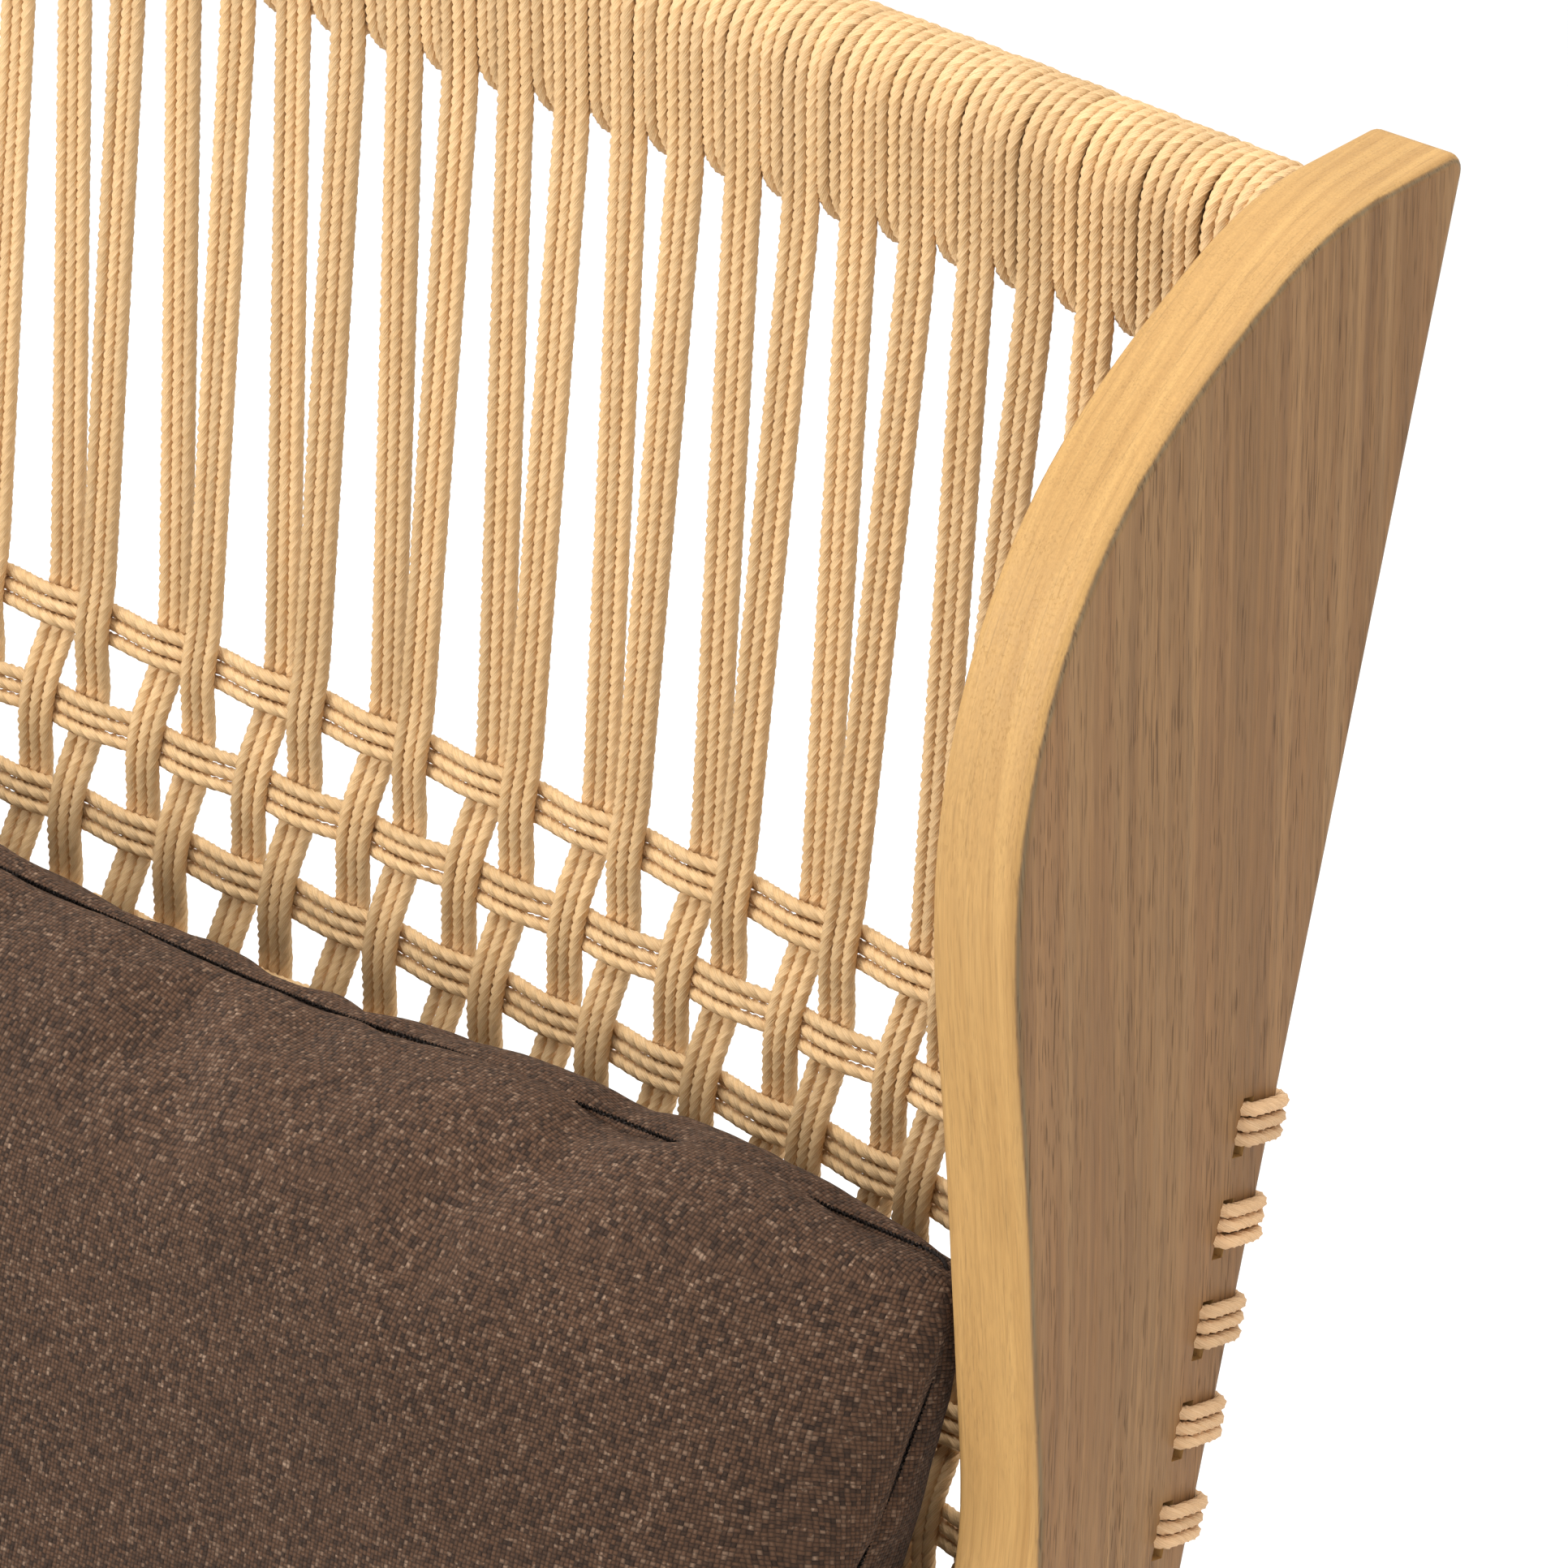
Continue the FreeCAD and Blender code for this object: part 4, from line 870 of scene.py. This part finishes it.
# --- wooden and small parts
@dataclass
class FrameParts:
    """The wooden, steel and plastic parts that keep the frame's own shapes."""

    def dress(self) -> None:
        """Give every carried-over part its finish."""
        upright = WoodFinish("oiled_wood_upright", Grain.UPRIGHT).make()
        along = WoodFinish("oiled_wood_along", Grain.ALONG, edge_axis=2).make()
        rail = WoodFinish("oiled_wood_rail", Grain.ALONG).make()
        across = WoodFinish("oiled_wood_across", Grain.ACROSS, edge_axis=1).make()
        steel = SmallPartFinish("zinc_steel", (0.55, 0.55, 0.53, 1.0), 1.0, 0.38).make()
        plastic = SmallPartFinish("black_plastic", (0.03, 0.03, 0.03, 1.0), 0.0, 0.5).make()
        choices = (
            ("wing_post", upright), ("front_leg", upright), ("arm", along), ("side_seat_rail", rail),
            ("seat_slat", along), ("joint_dowels", across), ("corner_block_screws", steel),
            ("slat_screws", steel), ("cord_tacks", steel), ("corner_block", across), ("glide", plastic),
            ("front_seat_rail", across), ("rear_seat_rail", across), ("top_back_rail", across),
            ("low_back_rail", across),
        )
        for name, node in frame["nodes"].items():
            for prefix, material in choices:
                if name.startswith(prefix):
                    node.data.materials.clear()
                    node.data.materials.append(material)
                    LOG.info("%s dressed in %s", name, material.name)
                    break


# --- cushions
@dataclass
class Cushion:
    """A filled cushion of two panels sewn together round its middle, with drawn-out corners.

    Points are rows in the cushion's own axes, and half is half of its room along each of them.
    """

    node: str
    cloth: Material
    thread: CordMaker
    along: Triple
    up: Triple
    fill: float
    crown: float = 9.0 * MM
    pull: float = 5.0 * MM
    droop: float = 15.0 * MM
    widen: float = 1.6 * MM
    voxel: float = 6.0 * MM
    swell_cap: float = 24.0 * MM
    seam_depth: float = 2.6 * MM
    seam_width: float = 3.4 * MM
    seed: float = 0.0

    def axes(self) -> np.ndarray:
        """Rows: across the chair, along the panel and out of the panel."""
        return np.array([(1.0, 0.0, 0.0), self.along, self.up])

    def space(self) -> tuple[np.ndarray, np.ndarray]:
        """Low and high corner of the plain block's room, along the cushion's own axes."""
        local = self.read(frame["nodes"][self.node].data) @ self.axes().T
        return local.min(axis=0), local.max(axis=0)

    def outline(self, half: np.ndarray, count: int = 96) -> Object:
        """Closed pillow that is a little smaller than the finished cushion."""
        grid = np.sin(np.linspace(-0.5, 0.5, count + 1) * math.pi)
        s, t = np.meshgrid(grid, grid, indexing="ij")
        x = s * (half[0] - self.pull * (1 - t ** 4))
        y = t * (half[1] - self.droop * s ** 4)
        thick = (half[2] - self.crown) * np.sqrt(np.clip((1 - s ** 6) * (1 - t ** 6), 0.0, 1.0))
        dome = 0.45 * self.crown * (1 - s ** 2) * (1 - t ** 2)
        verts, faces, index = [], [], {}
        for layer in (1, -1):
            for i in range(count + 1):
                for j in range(count + 1):
                    rim = i in (0, count) or j in (0, count)
                    if layer < 0 and rim:
                        index[layer, i, j] = index[1, i, j]
                        continue
                    index[layer, i, j] = len(verts)
                    verts.append((x[i, j], y[i, j], 0.0 if rim else layer * (thick[i, j] + dome[i, j])))
            for i in range(count):
                for j in range(count):
                    ring = [index[layer, i, j], index[layer, i + 1, j],
                            index[layer, i + 1, j + 1], index[layer, i, j + 1]]
                    faces.append(ring if layer > 0 else ring[::-1])
        mesh = bpy.data.meshes.new(self.node + "_cover")
        mesh.from_pydata(verts, [], faces)
        return add_object(self.node + "_cover", mesh)

    def apply(self, piece: Object, modifier: bpy.types.Modifier) -> None:
        """Apply one modifier of a piece."""
        with bpy.context.temp_override(object=piece, active_object=piece):
            bpy.ops.object.modifier_apply(modifier=modifier.name)

    def swell(self, piece: Object) -> None:
        """Blow the cover up as cloth, so that it wrinkles along its seam, and cap the swelling."""
        mesh = piece.data
        before = self.read(mesh)
        cloth = piece.modifiers.new("cloth", "CLOTH")
        settings = cloth.settings
        settings.quality = 3
        settings.mass = 0.25
        settings.tension_stiffness = 22.0
        settings.compression_stiffness = 22.0
        settings.shear_stiffness = 12.0
        settings.bending_stiffness = 0.35
        settings.use_pressure = True
        settings.uniform_pressure_force = 4.0
        settings.effector_weights.gravity = 0.0
        cloth.point_cache.frame_start = 1
        cloth.point_cache.frame_end = SWELL_FRAMES
        scene = bpy.context.scene
        for step in range(1, SWELL_FRAMES + 1):
            scene.frame_set(step)
        self.apply(piece, cloth)
        scene.frame_set(1)
        after = self.read(piece.data)
        move = after - before
        length = np.linalg.norm(move, axis=1, keepdims=True)
        move *= np.minimum(1.0, self.swell_cap / np.maximum(length, 1e-9))
        self.write(piece.data, before + move)

    @staticmethod
    def read(mesh: bpy.types.Mesh) -> np.ndarray:
        """Vertices of a mesh as rows."""
        points = np.empty(len(mesh.vertices) * 3)
        mesh.vertices.foreach_get("co", points)
        return points.reshape(-1, 3)

    @staticmethod
    def write(mesh: bpy.types.Mesh, points: np.ndarray) -> None:
        """Move the vertices of a mesh."""
        mesh.vertices.foreach_set("co", points.ravel())
        mesh.update()

    def sew(self, points: np.ndarray, half: np.ndarray) -> np.ndarray:
        """Sink the seam between the panels, and pucker the cloth beside it."""
        x, y, z = points.T
        rim = np.maximum(np.abs(x) / half[0], np.abs(y) / half[1])
        near = np.clip((rim - 0.80) / 0.08, 0.0, 1.0)
        line = np.exp(-(z / self.seam_width) ** 2) * near
        inward = -points / np.maximum(np.linalg.norm(points * (1, 1, 0), axis=1, keepdims=True), 1e-6)
        inward[:, 2] = 0.0
        run = np.where(np.abs(x) / half[0] > np.abs(y) / half[1], y, x)
        gather = np.sin(run * 310 + 2.0 * np.sin(run * 57 + self.seed)) * np.sin(run * 93 + self.seed)
        fade = np.exp(-(z / (20 * MM)) ** 2) * near * (1 - np.exp(-(z / (5 * MM)) ** 2))
        return points + inward * (self.seam_depth * line + 0.5 * MM * gather * fade)[:, None]

    def level_corners(self, points: np.ndarray, half: np.ndarray) -> np.ndarray:
        """Bring each drawn-out corner back to the middle between the panels."""
        out = points.copy()
        for sx in (-1, 1):
            for sy in (-1, 1):
                far = np.minimum(points[:, 0] * sx / half[0], points[:, 1] * sy / half[1])
                tip = far > far.max() - 0.04
                share = np.clip((far - 0.70) / 0.22, 0.0, 1.0)
                out[:, 2] -= points[tip, 2].mean() * share * share * (3 - 2 * share)
        return out

    def seam_path(self, points: np.ndarray, half: np.ndarray) -> np.ndarray:
        """Line of the seam, just proud of the bottom of its groove."""
        near = points[np.abs(points[:, 2]) < 3.5 * MM]
        scaled = near[:, :2] / half[:2]
        angle = np.arctan2(scaled[:, 1], scaled[:, 0])
        size = np.abs(scaled).max(axis=1)
        rim = size > 0.8
        order = np.argsort(angle[rim])
        angle, size = angle[rim][order], size[rim][order]
        steps = np.linspace(-math.pi, math.pi, 361)[:-1]
        reach = np.interp(steps, angle, size, period=2 * math.pi)
        soft = np.convolve(np.concatenate([reach[-4:], reach, reach[:4]]), np.ones(9) / 9, mode="valid")
        way = np.stack([np.cos(steps), np.sin(steps)], axis=-1)
        way /= np.abs(way).max(axis=1, keepdims=True)
        flat = way * (soft - 0.6 * MM / half[0])[:, None] * half[:2]
        return np.column_stack([flat, np.zeros(len(flat))])

    def rumple(self, points: np.ndarray) -> np.ndarray:
        """Slow unevenness of the filling under the cloth."""
        x, y, z = points.T
        waves = np.sin(x * 13 + y * 7 + self.seed) + np.sin(x * -8 + y * 17 + 2 * self.seed) \
            + 0.6 * np.sin(x * 29 + y * 21 + 3 * self.seed)
        out = points.copy()
        out[:, 2] += np.sign(z) * 0.9 * MM * waves * np.clip(np.abs(z) / (20 * MM), 0.0, 1.0)
        return out

    def build(self) -> Object:
        """Make the cushion in the space that its plain block holds."""
        low, high = self.space()
        centre, half = (low + high) / 2, (high - low) / 2 + np.array([self.widen, 0.0, 0.0])
        piece = self.outline(half)
        remesh = piece.modifiers.new("remesh", "REMESH")
        remesh.mode = "VOXEL"
        remesh.voxel_size = self.voxel
        self.apply(piece, remesh)
        self.swell(piece)
        smooth = piece.modifiers.new("smooth", "SMOOTH")
        smooth.iterations = 3
        self.apply(piece, smooth)
        finer = piece.modifiers.new("finer", "SUBSURF")
        finer.levels = finer.render_levels = 1
        self.apply(piece, finer)
        points = self.read(piece.data)
        reach = np.abs(points).max(axis=0)
        points *= (half - 0.5 * MM) / reach
        points = self.sew(self.rumple(self.level_corners(points, half)), half)
        points = np.clip(points, -half + 0.3 * MM, half - 0.3 * MM)
        path = (self.seam_path(points, half) + centre) @ self.axes()
        self.write(piece.data, (points + centre) @ self.axes())
        piece.data.polygons.foreach_set("use_smooth", np.ones(len(piece.data.polygons), dtype=bool))
        piece.data.materials.clear()
        piece.data.materials.append(self.cloth)
        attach(piece, self.node)
        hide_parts(self.node)
        loop = resample(path, self.thread.step, 8 * MM, True)
        seam = self.thread.build(self.node + "_seam", [(loop, np.array(self.up), 0.5, True)])
        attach(seam, self.node)
        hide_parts(self.node)
        return piece


# --- studio
@dataclass
class Studio:
    """Pale floor, soft lights and the camera."""

    azimuth: float = math.radians(40.13)
    elevation: float = math.radians(28.68)
    distance: float = 2.2022
    lens: float = 199.3
    target: Triple = (0.2375, 0.2728, 0.8345)

    def camera(self) -> None:
        """Close view of the right-hand wing from the front and above."""
        data = bpy.data.cameras.new("camera")
        data.lens = self.lens
        data.sensor_width = 36.0
        data.clip_start, data.clip_end = 0.05, 60.0
        camera = add_object("camera", data)
        back = Vector((math.sin(self.azimuth) * math.cos(self.elevation),
                       -math.cos(self.azimuth) * math.cos(self.elevation), math.sin(self.elevation)))
        camera.location = Vector(self.target) + back * self.distance
        camera.rotation_mode = "QUATERNION"
        camera.rotation_quaternion = (-back).to_track_quat("-Z", "Y")
        bpy.context.scene.camera = camera

    def light(self, name: str, place: Triple, size: float, power: float) -> None:
        """Square soft light aimed at the back of the chair."""
        data = bpy.data.lights.new(name, "AREA")
        data.size = size
        data.energy = power
        lamp = add_object(name, data)
        lamp.location = place
        aim = Vector((0.0, 0.1, 0.6)) - Vector(place)
        lamp.rotation_mode = "QUATERNION"
        lamp.rotation_quaternion = aim.to_track_quat("-Z", "Y")

    def floor(self) -> None:
        """Wide pale floor."""
        bpy.ops.object.select_all(action="DESELECT")
        bpy.ops.mesh.primitive_plane_add(size=60.0, location=(0.0, 0.0, 0.0))
        plane = bpy.context.object
        plane.name = "studio_floor"
        graph = Graph("studio_white")
        place = graph.node("TexCoord").outputs["Object"]
        plane.data.materials.append(graph.finish(
            graph.mix(graph.noise(place, 3.0), (0.90, 0.90, 0.90, 1.0), (0.93, 0.93, 0.93, 1.0)), 0.8))

    def build(self) -> None:
        """Set up the whole studio."""
        self.floor()
        self.camera()
        self.light("key_light", (-1.7, -2.9, 2.2), 2.2, 105.0)
        self.light("side_light", (3.2, -0.6, 1.9), 2.4, 16.0)
        self.light("top_light", (0.2, 0.6, 3.4), 2.6, 66.0)
        world = bpy.data.worlds.new("studio_world")
        world.use_nodes = True
        world.node_tree.nodes["Background"].inputs[0].default_value = (1.0, 1.0, 1.0, 1.0)
        world.node_tree.nodes["Background"].inputs[1].default_value = 0.75
        bpy.context.scene.world = world
        bpy.context.scene.view_settings.view_transform = "Standard"


def main() -> None:
    """Build the chair's visible pieces in order."""
    logging.basicConfig(level=logging.INFO, format="%(message)s")
    FrameParts().dress()
    cord = CordFinish("paper_cord").make()
    lashing = CordFinish("paper_cord_lashing", light=(0.850, 0.570, 0.330, 1.0),
                         dark=(0.700, 0.430, 0.220, 1.0)).make()
    layout = BackLayout()
    WovenBack(layout, CordMaker(cord), CordMaker(lashing)).build()
    cloth = ClothFinish("wool_cloth").make()
    tilt = math.radians(5.0)
    # The thread's third colour is the painted shade in the grooves of its twist.
    dark = CordFinish("seam_thread", light=(0.030, 0.019, 0.014, 1.0), dark=(0.020, 0.012, 0.009, 1.0),
                      painted_groove_shade=(0.008, 0.005, 0.004, 1.0)).make()
    thread = CordMaker(dark, radius=0.8 * MM, valley=0.7 * MM, lay=2.4 * MM, step=1.2 * MM)
    seat = Cushion("seat_cushion", cloth, thread, (0.0, math.cos(tilt), -math.sin(tilt)),
                   (0.0, math.sin(tilt), math.cos(tilt)), 0.8, voxel=9.0 * MM, seed=1.3)
    lean = layout.recline
    back = Cushion("back_cushion", cloth, thread, (0.0, math.sin(lean), math.cos(lean)),
                   (0.0, -math.cos(lean), math.sin(lean)), 0.75, seed=4.1)
    for cushion in (seat, back):
        piece = cushion.build()
        LOG.info("%s: %d faces", piece.name, len(piece.data.polygons))
    Studio().build()


if __name__ == "__main__":
    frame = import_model()
    main()
